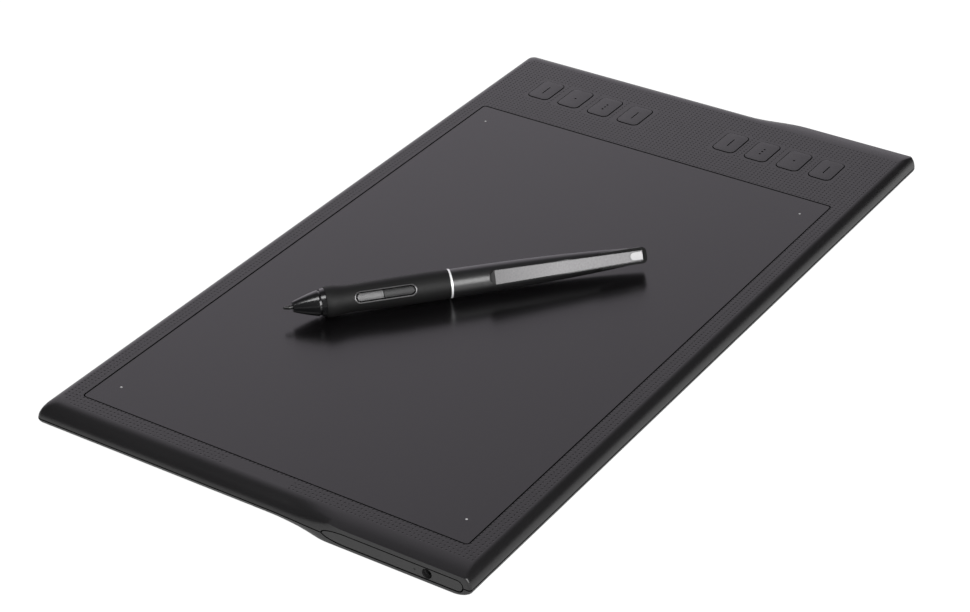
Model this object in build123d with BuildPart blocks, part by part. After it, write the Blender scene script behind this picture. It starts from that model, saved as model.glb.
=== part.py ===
from build123d import *
from math import cos, radians, sin, sqrt
import os

# Graphics tablet with its stylus. Millimetres, +Z up, origin under the middle of the case at desk level.
# X runs along the case, with the press keys at -X. Y runs across it, with the flared corners at +Y.

os.makedirs("parts", exist_ok=True)

# Case
case_length = 389.0
case_width = 218.6
deck_height = 11.6
foot_stand = 0.95
seam_height = 5.3
front_corner_radius = 2.0
back_corner_radius = 1.2
deck_corner_radius = 3.5
lower_corner_radius = 2.5
side_round_width = 4.6
end_round_width = 8.4
side_tuck_width = 7.2
end_tuck_width = 8.4

# Flared ends, placed from the flared long side
end_flare = 0.9
crease_drop = 1.2
scoop_width = 9.0
flare_start_inset = 88.8
flare_end_inset = 58.8
flare_seam_lead = 9.0
flare_foot_round = 0.5

# Shell walls
side_wall = 3.4
end_wall = 4.2
upper_side_wall = 5.4
upper_end_wall = 6.6
wall_step = 2.2
deck_wall = 2.1
floor_wall = 1.6
cavity_corner_radius = 5.0
seam_gap = 0.35
seam_depth = 0.7

# Work surface
surface_near_margin = 17.1
surface_far_margin = 65.5
surface_side_margin = 12.5
surface_thickness = 0.85
surface_corner_radius = 1.5
surface_gap = 0.4
surface_sink = 0.1
surface_seat = 0.05

# Press keys
key_length = 18.7
key_width = 11.8
key_corner_radius = 2.9
key_pitch = 17.3
key_group_offset = 27.1
keys_per_group = 4
key_row_inset = 35.4
key_proud = 0.2
key_gap = 0.3
key_edge_round = 0.3
key_flange = 1.0
key_flange_thickness = 0.8
key_flange_play = 0.1
key_top_wall = 1.3
key_side_wall = 1.5
key_stem_diameter = 4.0
key_travel = 0.6
key_rest_gap = 0.05

# Boards
board_thickness = 0.8
board_pad_height = 0.4
board_pad_diameter = 4.0
board_pad_inset = 8.0
main_board_front_inset = 5.5
main_board_back_inset = 60.5
main_board_margin = 17.3
main_board_y = 3.5
board_tab_length = 3.3
board_tab_width = 34.0
board_tab_inset = 31.3
sensor_end_margin = 3.2
sensor_side_margin = 3.3
sensor_board_thickness = 1.0
shield_thickness = 0.3
shield_margin = 8.0
switch_size = 6.0
switch_body_height = 1.4
switch_plunger_diameter = 3.2
switch_plunger_height = 0.4
chip_size = 9.0
chip_thickness = 1.1
chip_pitch = 13.0
chip_count = 3
chip_inset = 8.0
flex_width = 14.0
flex_thickness = 0.2
flex_land = 5.0

# Battery and its bay
battery_length = 62.0
battery_width = 42.0
battery_thickness = 3.8
battery_x = 20.0
battery_corner_radius = 2.0
bay_rib = 1.6
bay_rib_height = 1.8
bay_gap = 0.3

# End inserts, placed from the flared long side
insert_end_inset = 3.6
insert_length = 66.6
insert_height = 5.3
insert_centre_height = 5.45
insert_taper = 12.0
insert_thickness = 1.5
insert_recess = 0.15
insert_gap = 0.35
insert_seat = 0.1

# Round socket and pin light in the right insert
socket_inset = 20.2
socket_mouth_diameter = 4.6
socket_bore_diameter = 3.6
socket_barrel_diameter = 4.8
socket_length = 11.0
socket_back_wall = 1.2
socket_gap = 0.15
pin_light_inset = 25.9
pin_light_diameter = 0.9
pin_light_gap = 0.05
pin_light_length = 5.0
pin_light_sink = 0.05

# Charging port and power switch in the left insert
port_inset = 21.3
port_width = 7.6
port_height = 2.7
port_length = 6.2
port_wall = 0.35
port_corner_radius = 0.6
port_tongue_width = 4.2
port_tongue_thickness = 0.7
port_gap = 0.3
port_sink = 0.4
port_back_wall = 1.0
window_margin = 0.5
slider_inset = 41.3
slider_width = 3.6
slider_height = 1.9
slider_length = 4.2
slider_travel = 2.6
slider_gap = 0.2
slider_sink = 0.25
slider_rib_pitch = 0.9
slider_rib_depth = 0.25
slider_rib_count = 3
housing_width = 9.0
housing_length = 4.0
housing_height = 2.7
housing_back_wall = 1.0

# Status light between the two groups of keys
light_diameter = 1.5
light_gap = 0.05
light_flange_diameter = 3.2
light_flange_thickness = 0.6
light_standoff = 0.3

# Fastenings and feet
screws_per_side = 4
screw_front_inset = 22.5
screw_back_inset = 16.5
screw_side_inset = 10.2
lower_boss_diameter = 6.4
upper_boss_diameter = 5.4
screw_head_diameter = 4.2
screw_head_height = 1.2
screw_head_sink = 0.6
screw_head_gap = 0.2
screw_diameter = 2.0
screw_gap = 0.06
screw_length = 5.5
screw_end_gap = 0.3
screw_drive_diameter = 1.8
screw_drive_depth = 0.6
foot_length = 30.0
foot_width = 10.0
foot_sink = 0.5
foot_gap = 0.1
foot_inset_x = 38.0
foot_inset_y = 22.0
foot_edge_round = 0.3

# Stylus lying on the work surface
pen_tip_x = 86.8
pen_tip_y = -59.7
pen_heading = 138.2
pen_roll = 29.5
pen_droop = 0.2
pen_rest_gap = 0.15
pen_length = 164.9

# Stylus nib and cone
nib_diameter = 1.9
nib_point_diameter = 1.0
nib_taper = 2.2
nib_length = 24.0
nib_tip_round = 0.3
nib_gap = 0.12
nib_travel = 0.5
cone_start = 4.2
cone_front_diameter = 4.6
cone_back_diameter = 12.8
cone_swell = 0.35
cone_groove_width = 1.0
cone_groove_depth = 0.35
cone_groove_setback = 2.4
cone_cavity_lead = 4.0

# Stylus grip, ring and inner tube
grip_start = 18.3
grip_front_diameter = 13.6
grip_edge_round = 0.25
grip_bulge_diameter = 14.0
grip_bulge_at = 20.6
grip_neck_diameter = 12.7
grip_neck_at = 26.5
grip_waist_diameter = 12.4
grip_waist_at = 34.0
grip_belly_diameter = 13.2
grip_belly_at = 61.0
grip_back_diameter = 12.9
ring_start = 74.1
ring_width = 0.9
ring_proud = 0.1
tube_diameter = 10.0
tube_wall = 1.1
tube_lap = 1.7
tube_end_gap = 1.0
sleeve_gap = 0.05

# Stylus buttons
bezel_start = 30.85
bezel_end = 58.65
bezel_width = 5.4
bezel_rim = 0.45
bezel_proud = 0.15
bezel_shelf_width = 0.5
bezel_shelf_depth = 0.4
bezel_gap = 0.15
button_split = 43.75
button_split_gap = 0.4
button_gap = 0.25
button_proud = 0.3
button_flange = 0.5
button_flange_thickness = 0.6
button_flange_play = 0.1
button_travel = 0.4
button_rest_gap = 0.05
button_stem_diameter = 1.6
split_rib_width = 0.8
split_rib_proud = 0.25
touch_dimple_diameter = 0.8
touch_dimple_depth = 0.3
touch_dimple_inset = 1.7

# Stylus rear barrel, tail and clip
barrel_front_diameter = 12.8
barrel_middle_diameter = 11.7
barrel_middle_setback = 45.5
barrel_late_diameter = 9.6
barrel_late_setback = 20.9
barrel_back_diameter = 6.5
tail_thickness = 0.9
tail_joint_gap = 0.05
tail_corner_round = 2.2
tail_plug_diameter = 3.6
tail_plug_length = 4.0
frame_length = 22.0
frame_width = 7.4
frame_sink = 1.0
clip_length = 69.25
clip_setback = 1.8
clip_front_width = 6.5
clip_back_width = 4.7
clip_thickness = 1.0
clip_edge_round = 0.2
clip_front_lift = 7.9
clip_back_lift = 3.9
clip_gap = 0.3
clip_nose_length = 2.05
clip_nose_drop = 0.8
inlay_length = 5.8
inlay_width = 3.5
inlay_thickness = 0.35
inlay_setback = 0.25
inlay_gap = 0.2
inlay_proud = 0.05

# Stylus works
works_gap = 0.1
coil_start = 13.0
coil_end = 22.0
coil_bore = 2.4
gauge_length = 6.0
pen_board_gap = 0.6
pen_board_setback = 2.0
pen_board_thickness = 0.8
pen_board_drop = 1.6
pen_switch_height = 1.0
pen_switch_size = 3.0
cell_length = 36.0
cell_setback = 32.9
cell_diameter = 6.8
cell_gap = 0.1

# Levels and places that the sizes above give
underside = foot_stand
floor_top = underside + floor_wall
deck_bottom = deck_height - deck_wall
round_height = deck_height - seam_height
tuck_height = seam_height - seam_gap - underside
crease_share = 1 - crease_drop / round_height
lower_shares = (0, 0.35, 0.65, 0.87, 1)
edge_shares = [crease_share * step for step in (0, 0.37, 0.68, 0.89, 1)]
scoop_shares = [crease_share + (1 - crease_share) * step for step in (0, 0.5, 0.85, 1)]
flared_side_y = case_width / 2
flare_start = flared_side_y - flare_start_inset
flare_end = flared_side_y - flare_end_inset
surface_length = case_length - surface_near_margin - surface_far_margin
surface_width = case_width - 2 * surface_side_margin
surface_centre_x = (surface_far_margin - surface_near_margin) / 2
surface_top = deck_height - surface_sink
surface_bottom = surface_top - surface_thickness
recess_bottom = surface_bottom - surface_seat
key_row_x = key_row_inset - case_length / 2
board_bottom = floor_top + board_pad_height
board_top = board_bottom + board_thickness
main_board_front = main_board_front_inset - case_length / 2
main_board_back = main_board_back_inset - case_length / 2
main_board_length = main_board_back - main_board_front
main_board_width = case_width - 2 * main_board_margin
main_board_x = (main_board_back + main_board_front) / 2
board_tab_y = flared_side_y - board_tab_inset
sensor_board_length = surface_length - 2 * sensor_end_margin
sensor_board_width = surface_width - 2 * sensor_side_margin
sensor_bottom = deck_bottom - sensor_board_thickness
sensor_front = surface_centre_x - sensor_board_length / 2
insert_face_x = case_length / 2 - insert_recess
pocket_floor_x = insert_face_x - insert_thickness - insert_seat
insert_end = flared_side_y - insert_end_inset
insert_tip = insert_end - insert_length
socket_y = flared_side_y - socket_inset
pin_light_y = flared_side_y - pin_light_inset
port_y = flared_side_y - port_inset
slider_y = flared_side_y - slider_inset
key_flange_top = deck_bottom - key_flange_play
key_stem_bottom = board_top + switch_body_height + switch_plunger_height + key_travel + key_rest_gap
port_height_centre = board_top + port_height / 2
slider_height_centre = board_top + housing_height / 2
head_top = underside + screw_head_sink + screw_head_height

key_offsets = [key_group_offset + index * key_pitch for index in range(keys_per_group)]
key_centres = [(key_row_x, y) for y in reversed(key_offsets)] + [(key_row_x, -y) for y in key_offsets]
screw_pitch = (case_length - screw_front_inset - screw_back_inset) / (screws_per_side - 1)
screw_columns = [screw_back_inset - case_length / 2 + index * screw_pitch for index in range(screws_per_side)]
screw_y = case_width / 2 - screw_side_inset
screw_centres = [(x, side * screw_y) for x in screw_columns for side in (-1, 1)]
foot_x = case_length / 2 - foot_inset_x
foot_y = case_width / 2 - foot_inset_y
foot_centres = [(-foot_x, -foot_y), (-foot_x, foot_y), (foot_x, -foot_y), (foot_x, foot_y)]
board_pad_centres = [
    (main_board_front + board_pad_inset, -key_offsets[-1]),
    (main_board_front + board_pad_inset, key_offsets[-1]),
    (main_board_back - board_pad_inset, -key_offsets[-1]),
    (main_board_back - board_pad_inset, key_offsets[-1]),
    (main_board_x, 0),
]
right_end = Plane((insert_face_x, 0, insert_centre_height), x_dir=(0, 1, 0), z_dir=(1, 0, 0))
left_end = Plane((-insert_face_x, 0, insert_centre_height), x_dir=(0, 1, 0), z_dir=(-1, 0, 0))


def write(part, name):
    part.label = name
    export_step(part, f"parts/{name}.step")


# Case outline at one height, from how far each stretch lies inside the full plan and how early it flares
def case_outline(height, end_inset, side_inset, flare_inset, front_radius, back_radius, lead):
    flare_from = flare_start - lead
    flare_to = flare_end - lead
    front_x = case_length / 2 - end_flare - end_inset
    flare_x = case_length / 2 - flare_inset
    half_width = case_width / 2 - side_inset
    with BuildSketch(Plane.XY.offset(height)) as outline:
        with BuildLine():
            Line((0, -half_width), (front_x - front_radius, -half_width))
            CenterArc((front_x - front_radius, -half_width + front_radius), front_radius, -90, 90)
            Line((front_x, -half_width + front_radius), (front_x, flare_from))
            Spline((front_x, flare_from), (flare_x, flare_to), tangents=((0, 1), (0, 1)))
            Line((flare_x, flare_to), (flare_x, half_width - back_radius))
            CenterArc((flare_x - back_radius, half_width - back_radius), back_radius, 0, 90)
            Line((flare_x - back_radius, half_width), (0, half_width))
            mirror(about=Plane.YZ)
        make_face()
    return outline.sketch


# How far a quarter-ellipse edge has come in at a share of its height
def ellipse_inset(width, share):
    return width * (1 - sqrt(max(0.0, 1 - share * share)))


# Outline of the upper shell at a share of the height from the seam to the deck
def upper_section(share):
    scoop_share = max(0.0, share - crease_share) / (1 - crease_share)
    return case_outline(
        seam_height + round_height * share,
        ellipse_inset(end_round_width, share),
        ellipse_inset(side_round_width, share),
        scoop_width * (1 - sqrt(max(0.0, 1 - scoop_share))),
        front_corner_radius + (deck_corner_radius - front_corner_radius) * share,
        back_corner_radius,
        flare_seam_lead * max(0.0, 1 - share / crease_share),
    )


# Outline of the lower shell at a share of the height from the seam down to the underside
def lower_section(share):
    return case_outline(
        seam_height - seam_gap - tuck_height * share,
        ellipse_inset(end_tuck_width, share),
        ellipse_inset(side_tuck_width, share),
        ellipse_inset(flare_foot_round, share),
        front_corner_radius + (lower_corner_radius - front_corner_radius) * share,
        back_corner_radius + (lower_corner_radius - back_corner_radius) * share,
        flare_seam_lead,
    )


# Plain rectangle of the hollow inside the case
def cavity_outline(height, end_thickness, side_thickness):
    length = case_length - 2 * (end_flare + end_thickness)
    with BuildSketch(Plane.XY.offset(height)) as outline:
        RectangleRounded(length, case_width - 2 * side_thickness, cavity_corner_radius)
    return outline.sketch


# Long insert seen from outside the case: a leaf point at one end and a round end at the other
def insert_outline(plane, grow):
    half_height = insert_height / 2 + grow
    taper_y = insert_tip + insert_taper
    round_y = insert_end - insert_height / 2
    with BuildSketch(plane) as outline:
        with BuildLine():
            EllipticalCenterArc((taper_y, 0), insert_taper + grow, half_height, 90, arc_size=180)
            Line((taper_y, -half_height), (round_y, -half_height))
            CenterArc((round_y, 0), half_height, -90, 180)
            Line((round_y, half_height), (taper_y, half_height))
        make_face()
    return outline.sketch


# Plane across the case end, level with the middle of a fitting
def fitting_plane(x, y, height):
    return Plane((x, y, height), x_dir=(0, 1, 0), z_dir=(1, 0, 0))


socket_axis = fitting_plane(pocket_floor_x, socket_y, insert_centre_height)
pin_axis = fitting_plane(insert_face_x - pin_light_sink, pin_light_y, insert_centre_height)
port_mouth = fitting_plane(port_sink - insert_face_x, port_y, port_height_centre)
slider_face = fitting_plane(slider_sink - insert_face_x, slider_y, slider_height_centre)


# Solid that both shells give up behind an end insert: its pocket, and the way in for each fitting
with BuildPart() as end_clearance:
    for plane in (right_end, left_end):
        extrude(insert_outline(plane, insert_gap), amount=-(insert_thickness + insert_seat))
        extrude(insert_outline(plane, insert_gap), amount=2 * insert_recess)
    with BuildSketch(socket_axis):
        Circle(socket_barrel_diameter / 2 + socket_gap)
    extrude(amount=-(socket_length + socket_gap))
    with BuildSketch(pin_axis):
        Circle(pin_light_diameter / 2 + pin_light_gap)
    extrude(amount=-(pin_light_length + pin_light_gap))
    window_height = port_height + port_height_centre - port_height / 2 - floor_top + port_gap
    with BuildSketch(fitting_plane(-pocket_floor_x, board_tab_y, floor_top + window_height / 2)):
        Rectangle(board_tab_width + 2 * window_margin, window_height)
    extrude(amount=end_flare + upper_end_wall)

# Upper shell
with BuildPart() as top_cover:
    loft(sections=[upper_section(share) for share in edge_shares])
    loft(sections=[upper_section(share) for share in scoop_shares])
    extrude(cavity_outline(seam_height, end_wall, side_wall), amount=wall_step, mode=Mode.SUBTRACT)
    extrude(
        cavity_outline(seam_height, upper_end_wall, upper_side_wall),
        amount=deck_bottom - seam_height,
        mode=Mode.SUBTRACT,
    )
    with BuildSketch(Plane.XY.offset(seam_height)):
        with Locations(*screw_centres):
            Circle(upper_boss_diameter / 2)
    extrude(amount=deck_bottom - seam_height)
    with BuildSketch(Plane.XY.offset(seam_height)):
        with Locations(*screw_centres):
            Circle(screw_diameter / 2 + screw_gap)
    extrude(amount=head_top + screw_length + screw_end_gap - seam_height, mode=Mode.SUBTRACT)
    with BuildSketch(Plane.XY.offset(recess_bottom)):
        with Locations((surface_centre_x, 0)):
            RectangleRounded(
                surface_length + 2 * surface_gap,
                surface_width + 2 * surface_gap,
                surface_corner_radius + surface_gap,
            )
    extrude(amount=deck_height - recess_bottom, mode=Mode.SUBTRACT)
    with BuildSketch(Plane.XY.offset(deck_bottom)):
        with Locations(*key_centres):
            RectangleRounded(key_length + 2 * key_gap, key_width + 2 * key_gap, key_corner_radius + key_gap)
        with Locations((key_row_x, 0)):
            Circle(light_diameter / 2 + light_gap)
    extrude(amount=deck_wall, mode=Mode.SUBTRACT)
    add(end_clearance.part, mode=Mode.SUBTRACT)
write(top_cover.part, "top_cover")

# Lower shell, with a set-back neck under the seam, screw bosses, board pads and the battery bay
with BuildPart() as bottom_cover:
    loft(sections=[lower_section(share) for share in lower_shares])
    neck = case_outline(
        seam_height - seam_gap,
        seam_depth,
        seam_depth,
        seam_depth,
        front_corner_radius,
        back_corner_radius,
        flare_seam_lead,
    )
    extrude(neck, amount=seam_gap)
    extrude(
        cavity_outline(floor_top, end_wall, side_wall),
        amount=seam_height - floor_top,
        mode=Mode.SUBTRACT,
    )
    with BuildSketch(Plane.XY.offset(floor_top)):
        with Locations(*screw_centres):
            Circle(lower_boss_diameter / 2)
    extrude(amount=seam_height - floor_top)
    with BuildSketch(Plane.XY.offset(floor_top)):
        with Locations(*board_pad_centres):
            Circle(board_pad_diameter / 2)
    extrude(amount=board_pad_height)
    bay_length = battery_length + 2 * (bay_gap + bay_rib)
    bay_width = battery_width + 2 * (bay_gap + bay_rib)
    with BuildSketch(Plane.XY.offset(floor_top)):
        with Locations((battery_x, 0)):
            Rectangle(bay_length, bay_width)
            Rectangle(bay_length - 2 * bay_rib, bay_width - 2 * bay_rib, mode=Mode.SUBTRACT)
    extrude(amount=bay_rib_height)
    with BuildSketch(Plane.XY.offset(underside)):
        with Locations(*screw_centres):
            Circle(screw_head_diameter / 2 + screw_head_gap)
    extrude(amount=head_top - underside, mode=Mode.SUBTRACT)
    with BuildSketch(Plane.XY.offset(underside)):
        with Locations(*screw_centres):
            Circle(screw_diameter / 2 + screw_gap)
    extrude(amount=seam_height - underside, mode=Mode.SUBTRACT)
    with BuildSketch(Plane.XY.offset(underside)):
        with Locations(*foot_centres):
            SlotOverall(foot_length + 2 * foot_gap, foot_width + 2 * foot_gap)
    extrude(amount=foot_sink, mode=Mode.SUBTRACT)
    add(end_clearance.part, mode=Mode.SUBTRACT)
write(bottom_cover.part, "bottom_cover")

# Drawing sheet in its recess
with BuildPart() as work_surface:
    with BuildSketch(Plane.XY.offset(surface_bottom)):
        with Locations((surface_centre_x, 0)):
            RectangleRounded(surface_length, surface_width, surface_corner_radius)
    extrude(amount=surface_thickness)
write(work_surface.part, "work_surface")

# Press keys, each a hollow cap with a flange under the deck and a stem over its switch
for number, centre in enumerate(key_centres, start=1):
    with BuildPart() as key:
        with BuildSketch(Plane.XY.offset(key_flange_top)):
            with Locations(centre):
                RectangleRounded(key_length, key_width, key_corner_radius)
        extrude(amount=deck_height + key_proud - key_flange_top)
        fillet(key.faces().sort_by(Axis.Z)[-1].edges(), radius=key_edge_round)
        with BuildSketch(Plane.XY.offset(key_flange_top)):
            with Locations(centre):
                RectangleRounded(
                    key_length + 2 * key_flange, key_width + 2 * key_flange, key_corner_radius + key_flange
                )
        extrude(amount=-key_flange_thickness)
        with BuildSketch(Plane.XY.offset(key_flange_top - key_flange_thickness)):
            with Locations(centre):
                RectangleRounded(
                    key_length - 2 * key_side_wall, key_width - 2 * key_side_wall, key_corner_radius / 2
                )
        extrude(
            amount=deck_height + key_proud - key_top_wall - key_flange_top + key_flange_thickness,
            mode=Mode.SUBTRACT,
        )
        with BuildSketch(Plane.XY.offset(key_stem_bottom)):
            with Locations(centre):
                Circle(key_stem_diameter / 2)
        extrude(amount=deck_height + key_proud - key_top_wall - key_stem_bottom)
    write(key.part, f"key_{number}")

# Main board under the keys, with a tab that reaches the fittings in the end insert
with BuildPart() as main_board:
    with BuildSketch(Plane.XY.offset(board_bottom)):
        with Locations((main_board_x, main_board_y)):
            Rectangle(main_board_length, main_board_width)
        with Locations((main_board_front, board_tab_y)):
            Rectangle(board_tab_length, board_tab_width, align=(Align.MAX, Align.CENTER))
    extrude(amount=board_thickness)
write(main_board.part, "main_board")

# Dome switches, one under each key
with BuildPart() as key_switches:
    with BuildSketch(Plane.XY.offset(board_top)):
        with Locations(*key_centres):
            Rectangle(switch_size, switch_size)
    extrude(amount=switch_body_height)
    with BuildSketch(Plane.XY.offset(board_top + switch_body_height)):
        with Locations(*key_centres):
            Circle(switch_plunger_diameter / 2)
    extrude(amount=switch_plunger_height)
write(key_switches.part, "key_switches")

# Chips in a row behind the keys
with BuildPart() as controller_chips:
    with BuildSketch(Plane.XY.offset(board_top)):
        with Locations((main_board_back - chip_inset, 0)):
            with GridLocations(chip_pitch, chip_pitch, 1, chip_count):
                Rectangle(chip_size, chip_size)
    extrude(amount=chip_thickness)
write(controller_chips.part, "controller_chips")

# Board that senses the stylus, bonded under the deck, with its metal screen
with BuildPart() as sensor_board:
    with BuildSketch(Plane.XY.offset(deck_bottom)):
        with Locations((surface_centre_x, 0)):
            Rectangle(sensor_board_length, sensor_board_width)
    extrude(amount=-sensor_board_thickness)
write(sensor_board.part, "sensor_board")

with BuildPart() as shield_plate:
    with BuildSketch(Plane.XY.offset(sensor_bottom)):
        with Locations((surface_centre_x, 0)):
            Rectangle(sensor_board_length - 2 * shield_margin, sensor_board_width - 2 * shield_margin)
    extrude(amount=-shield_thickness)
write(shield_plate.part, "shield_plate")

# Flat cable from the main board up to the sensor board
flex_path = [
    (main_board_back - flex_land, board_top),
    (main_board_back, board_top),
    (sensor_front, sensor_bottom - flex_thickness),
    (sensor_front + flex_land, sensor_bottom - flex_thickness),
]
with BuildPart() as sensor_flex:
    with BuildSketch(Plane.XZ.offset(-main_board_width / 4)):
        with BuildLine():
            Polyline(*flex_path, *[(x, z + flex_thickness) for x, z in reversed(flex_path)], close=True)
        make_face()
    extrude(amount=flex_width / 2, both=True)
write(sensor_flex.part, "sensor_flex")

# Flat rechargeable cell in its bay
with BuildPart() as battery:
    with BuildSketch(Plane.XY.offset(floor_top)):
        with Locations((battery_x, 0)):
            RectangleRounded(battery_length, battery_width, battery_corner_radius)
    extrude(amount=battery_thickness)
write(battery.part, "battery")

# Right insert, with the round socket's mouth and the pin light's hole
with BuildPart() as end_panel_right:
    extrude(insert_outline(right_end, 0), amount=-insert_thickness)
    with BuildSketch(right_end):
        with Locations((socket_y, 0)):
            Circle(socket_mouth_diameter / 2)
        with Locations((pin_light_y, 0)):
            Circle(pin_light_diameter / 2 + pin_light_gap)
    extrude(amount=-insert_thickness, mode=Mode.SUBTRACT)
write(end_panel_right.part, "end_panel_right")

# Left insert, with the charging port's mouth and the power switch's slot
with BuildPart() as end_panel_left:
    extrude(insert_outline(left_end, 0), amount=-insert_thickness)
    with BuildSketch(Plane(port_mouth.origin, x_dir=(0, 1, 0), z_dir=(1, 0, 0)).offset(-port_sink)):
        RectangleRounded(port_width + 2 * port_gap, port_height + 2 * port_gap, port_corner_radius + port_gap)
        with Locations((slider_y - port_y, slider_height_centre - port_height_centre)):
            Rectangle(slider_width + slider_travel + 2 * slider_gap, slider_height + 2 * slider_gap)
    extrude(amount=insert_thickness, mode=Mode.SUBTRACT)
write(end_panel_left.part, "end_panel_left")

# Round socket barrel behind the right insert
with BuildPart() as side_socket:
    with BuildSketch(socket_axis):
        Circle(socket_barrel_diameter / 2)
    extrude(amount=-socket_length)
    with BuildSketch(socket_axis):
        Circle(socket_bore_diameter / 2)
    extrude(amount=-(socket_length - socket_back_wall), mode=Mode.SUBTRACT)
write(side_socket.part, "side_socket")

with BuildPart() as side_light:
    with BuildSketch(pin_axis):
        Circle(pin_light_diameter / 2)
    extrude(amount=-pin_light_length)
write(side_light.part, "side_light")

# Charging port: a thin shell with a contact tongue
with BuildPart() as usb_port:
    with BuildSketch(port_mouth):
        RectangleRounded(port_width, port_height, port_corner_radius)
    extrude(amount=port_length)
    with BuildSketch(port_mouth):
        RectangleRounded(port_width - 2 * port_wall, port_height - 2 * port_wall, port_corner_radius / 2)
    extrude(amount=port_length - port_back_wall, mode=Mode.SUBTRACT)
    with BuildSketch(port_mouth.offset(port_sink)):
        Rectangle(port_tongue_width, port_tongue_thickness)
    extrude(amount=port_length - port_back_wall - port_sink)
write(usb_port.part, "usb_port")

# Power switch: a housing on the board with a channel, and the slider in it
channel_length = slider_width + slider_travel + 2 * slider_gap
slider_back_gap = slider_gap
housing_front = slider_face.offset(slider_length + slider_back_gap + housing_back_wall - housing_length)
with BuildPart() as switch_housing:
    with BuildSketch(housing_front):
        Rectangle(housing_width, housing_height)
        Rectangle(channel_length, slider_height + 2 * slider_gap, mode=Mode.SUBTRACT)
    extrude(amount=housing_length - housing_back_wall)
    with BuildSketch(housing_front.offset(housing_length - housing_back_wall)):
        Rectangle(housing_width, housing_height)
    extrude(amount=housing_back_wall)
write(switch_housing.part, "switch_housing")

slider_rest = -slider_travel / 2
with BuildPart() as power_switch:
    with BuildSketch(slider_face):
        with Locations((slider_rest, 0)):
            Rectangle(slider_width, slider_height)
    extrude(amount=slider_length)
    with BuildSketch(slider_face):
        with Locations((slider_rest, 0)):
            with GridLocations(slider_rib_pitch, slider_height, slider_rib_count, 1):
                Rectangle(slider_rib_pitch / 2, slider_height)
    extrude(amount=slider_rib_depth, mode=Mode.SUBTRACT)
write(power_switch.part, "power_switch")

# Light pipe between the two groups of keys
with BuildPart() as status_light:
    with BuildSketch(Plane.XY.offset(board_top + light_standoff)):
        with Locations((key_row_x, 0)):
            Circle(light_diameter / 2)
    extrude(amount=deck_height - board_top - light_standoff)
    with BuildSketch(Plane.XY.offset(deck_bottom)):
        with Locations((key_row_x, 0)):
            Circle(light_flange_diameter / 2)
    extrude(amount=-light_flange_thickness)
write(status_light.part, "status_light")

# Case screws from below, with a round drive recess
with BuildPart() as case_screws:
    with BuildSketch(Plane.XY.offset(head_top)):
        with Locations(*screw_centres):
            Circle(screw_head_diameter / 2)
    extrude(amount=-screw_head_height)
    with BuildSketch(Plane.XY.offset(head_top)):
        with Locations(*screw_centres):
            Circle(screw_diameter / 2)
    extrude(amount=screw_length)
    with BuildSketch(Plane.XY.offset(head_top - screw_head_height)):
        with Locations(*screw_centres):
            RegularPolygon(screw_drive_diameter / 2, 6)
    extrude(amount=screw_drive_depth, mode=Mode.SUBTRACT)
write(case_screws.part, "case_screws")

# Rubber feet in shallow recesses
for number, centre in enumerate(foot_centres, start=1):
    with BuildPart() as foot:
        with BuildSketch(Plane.XY):
            with Locations(centre):
                SlotOverall(foot_length, foot_width)
        extrude(amount=foot_stand + foot_sink)
        fillet(foot.faces().sort_by(Axis.Z)[0].edges(), radius=foot_edge_round)
    write(foot.part, f"foot_{number}")

# Stylus frame: its tip, the way to its tail, and the side the clip and the buttons face
heading = radians(pen_heading)
droop = radians(pen_droop)
roll = radians(pen_roll)
pen_tip_z = surface_top + pen_rest_gap + grip_bulge_diameter / 2 + grip_bulge_at * sin(droop)
pen_tip = Vector(pen_tip_x, pen_tip_y, pen_tip_z)
tail_dir = Vector(cos(heading) * cos(droop), sin(heading) * cos(droop), -sin(droop))
across_dir = Vector(sin(heading), -cos(heading), 0)
clip_dir = across_dir * cos(roll) + across_dir.cross(tail_dir) * sin(roll)
pen_axis = Axis(pen_tip, tail_dir)
pen_top = Plane(pen_tip, x_dir=tail_dir, z_dir=clip_dir)
pen_side = Plane(pen_tip, x_dir=tail_dir, z_dir=tail_dir.cross(clip_dir))

# Stylus levels and places that the sizes above give
tube_radius = tube_diameter / 2
tube_bore = tube_radius - tube_wall
sleeve_radius = tube_radius + sleeve_gap
works_radius = tube_bore - works_gap
grip_front = grip_front_diameter / 2
grip_back = grip_back_diameter / 2
ring_end = ring_start + ring_width
ring_radius = grip_back + ring_proud
nib_bore = nib_diameter / 2 + nib_gap
gauge_start = nib_length + nib_travel + works_gap
gauge_end = gauge_start + gauge_length
pen_board_start = gauge_end + pen_board_gap
pen_board_width = 2 * sqrt(works_radius**2 - pen_board_drop**2)
pen_switch_top = pen_board_thickness - pen_board_drop + pen_switch_height
bezel_middle = (bezel_start + bezel_end) / 2
bezel_length = bezel_end - bezel_start
window_inset = bezel_rim + bezel_shelf_width
window_length = bezel_length - 2 * window_inset
window_width = bezel_width - 2 * window_inset
button_length = window_length - 2 * button_gap
button_width = window_width - 2 * button_gap
flange_half = button_width / 2 + button_flange
flange_top = sqrt(sleeve_radius**2 - flange_half**2) - button_flange_play
flange_bottom = flange_top - button_flange_thickness
button_stem_bottom = pen_switch_top + button_travel + button_rest_gap
front_button_at = (bezel_start + window_inset + button_split) / 2
rear_button_at = (bezel_end - window_inset + button_split) / 2
rib_end = button_split - button_split_gap / 2
touch_dimple_at = bezel_start + window_inset + button_gap + touch_dimple_inset
touch_dimple_floor = grip_waist_diameter / 2 + button_proud - touch_dimple_depth
barrel_end = pen_length - tail_thickness
barrel_middle_at = pen_length - barrel_middle_setback
barrel_late_at = pen_length - barrel_late_setback
cell_radius = cell_diameter / 2 + cell_gap
cell_end = pen_length - cell_setback
cell_start = cell_end - cell_length
tube_end = cell_start - tube_end_gap
pen_board_end = tube_end - pen_board_setback
clip_end = pen_length - clip_setback
clip_start = clip_end - clip_length
clip_slope = (clip_front_lift - clip_back_lift) / (clip_end - clip_start)


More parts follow.
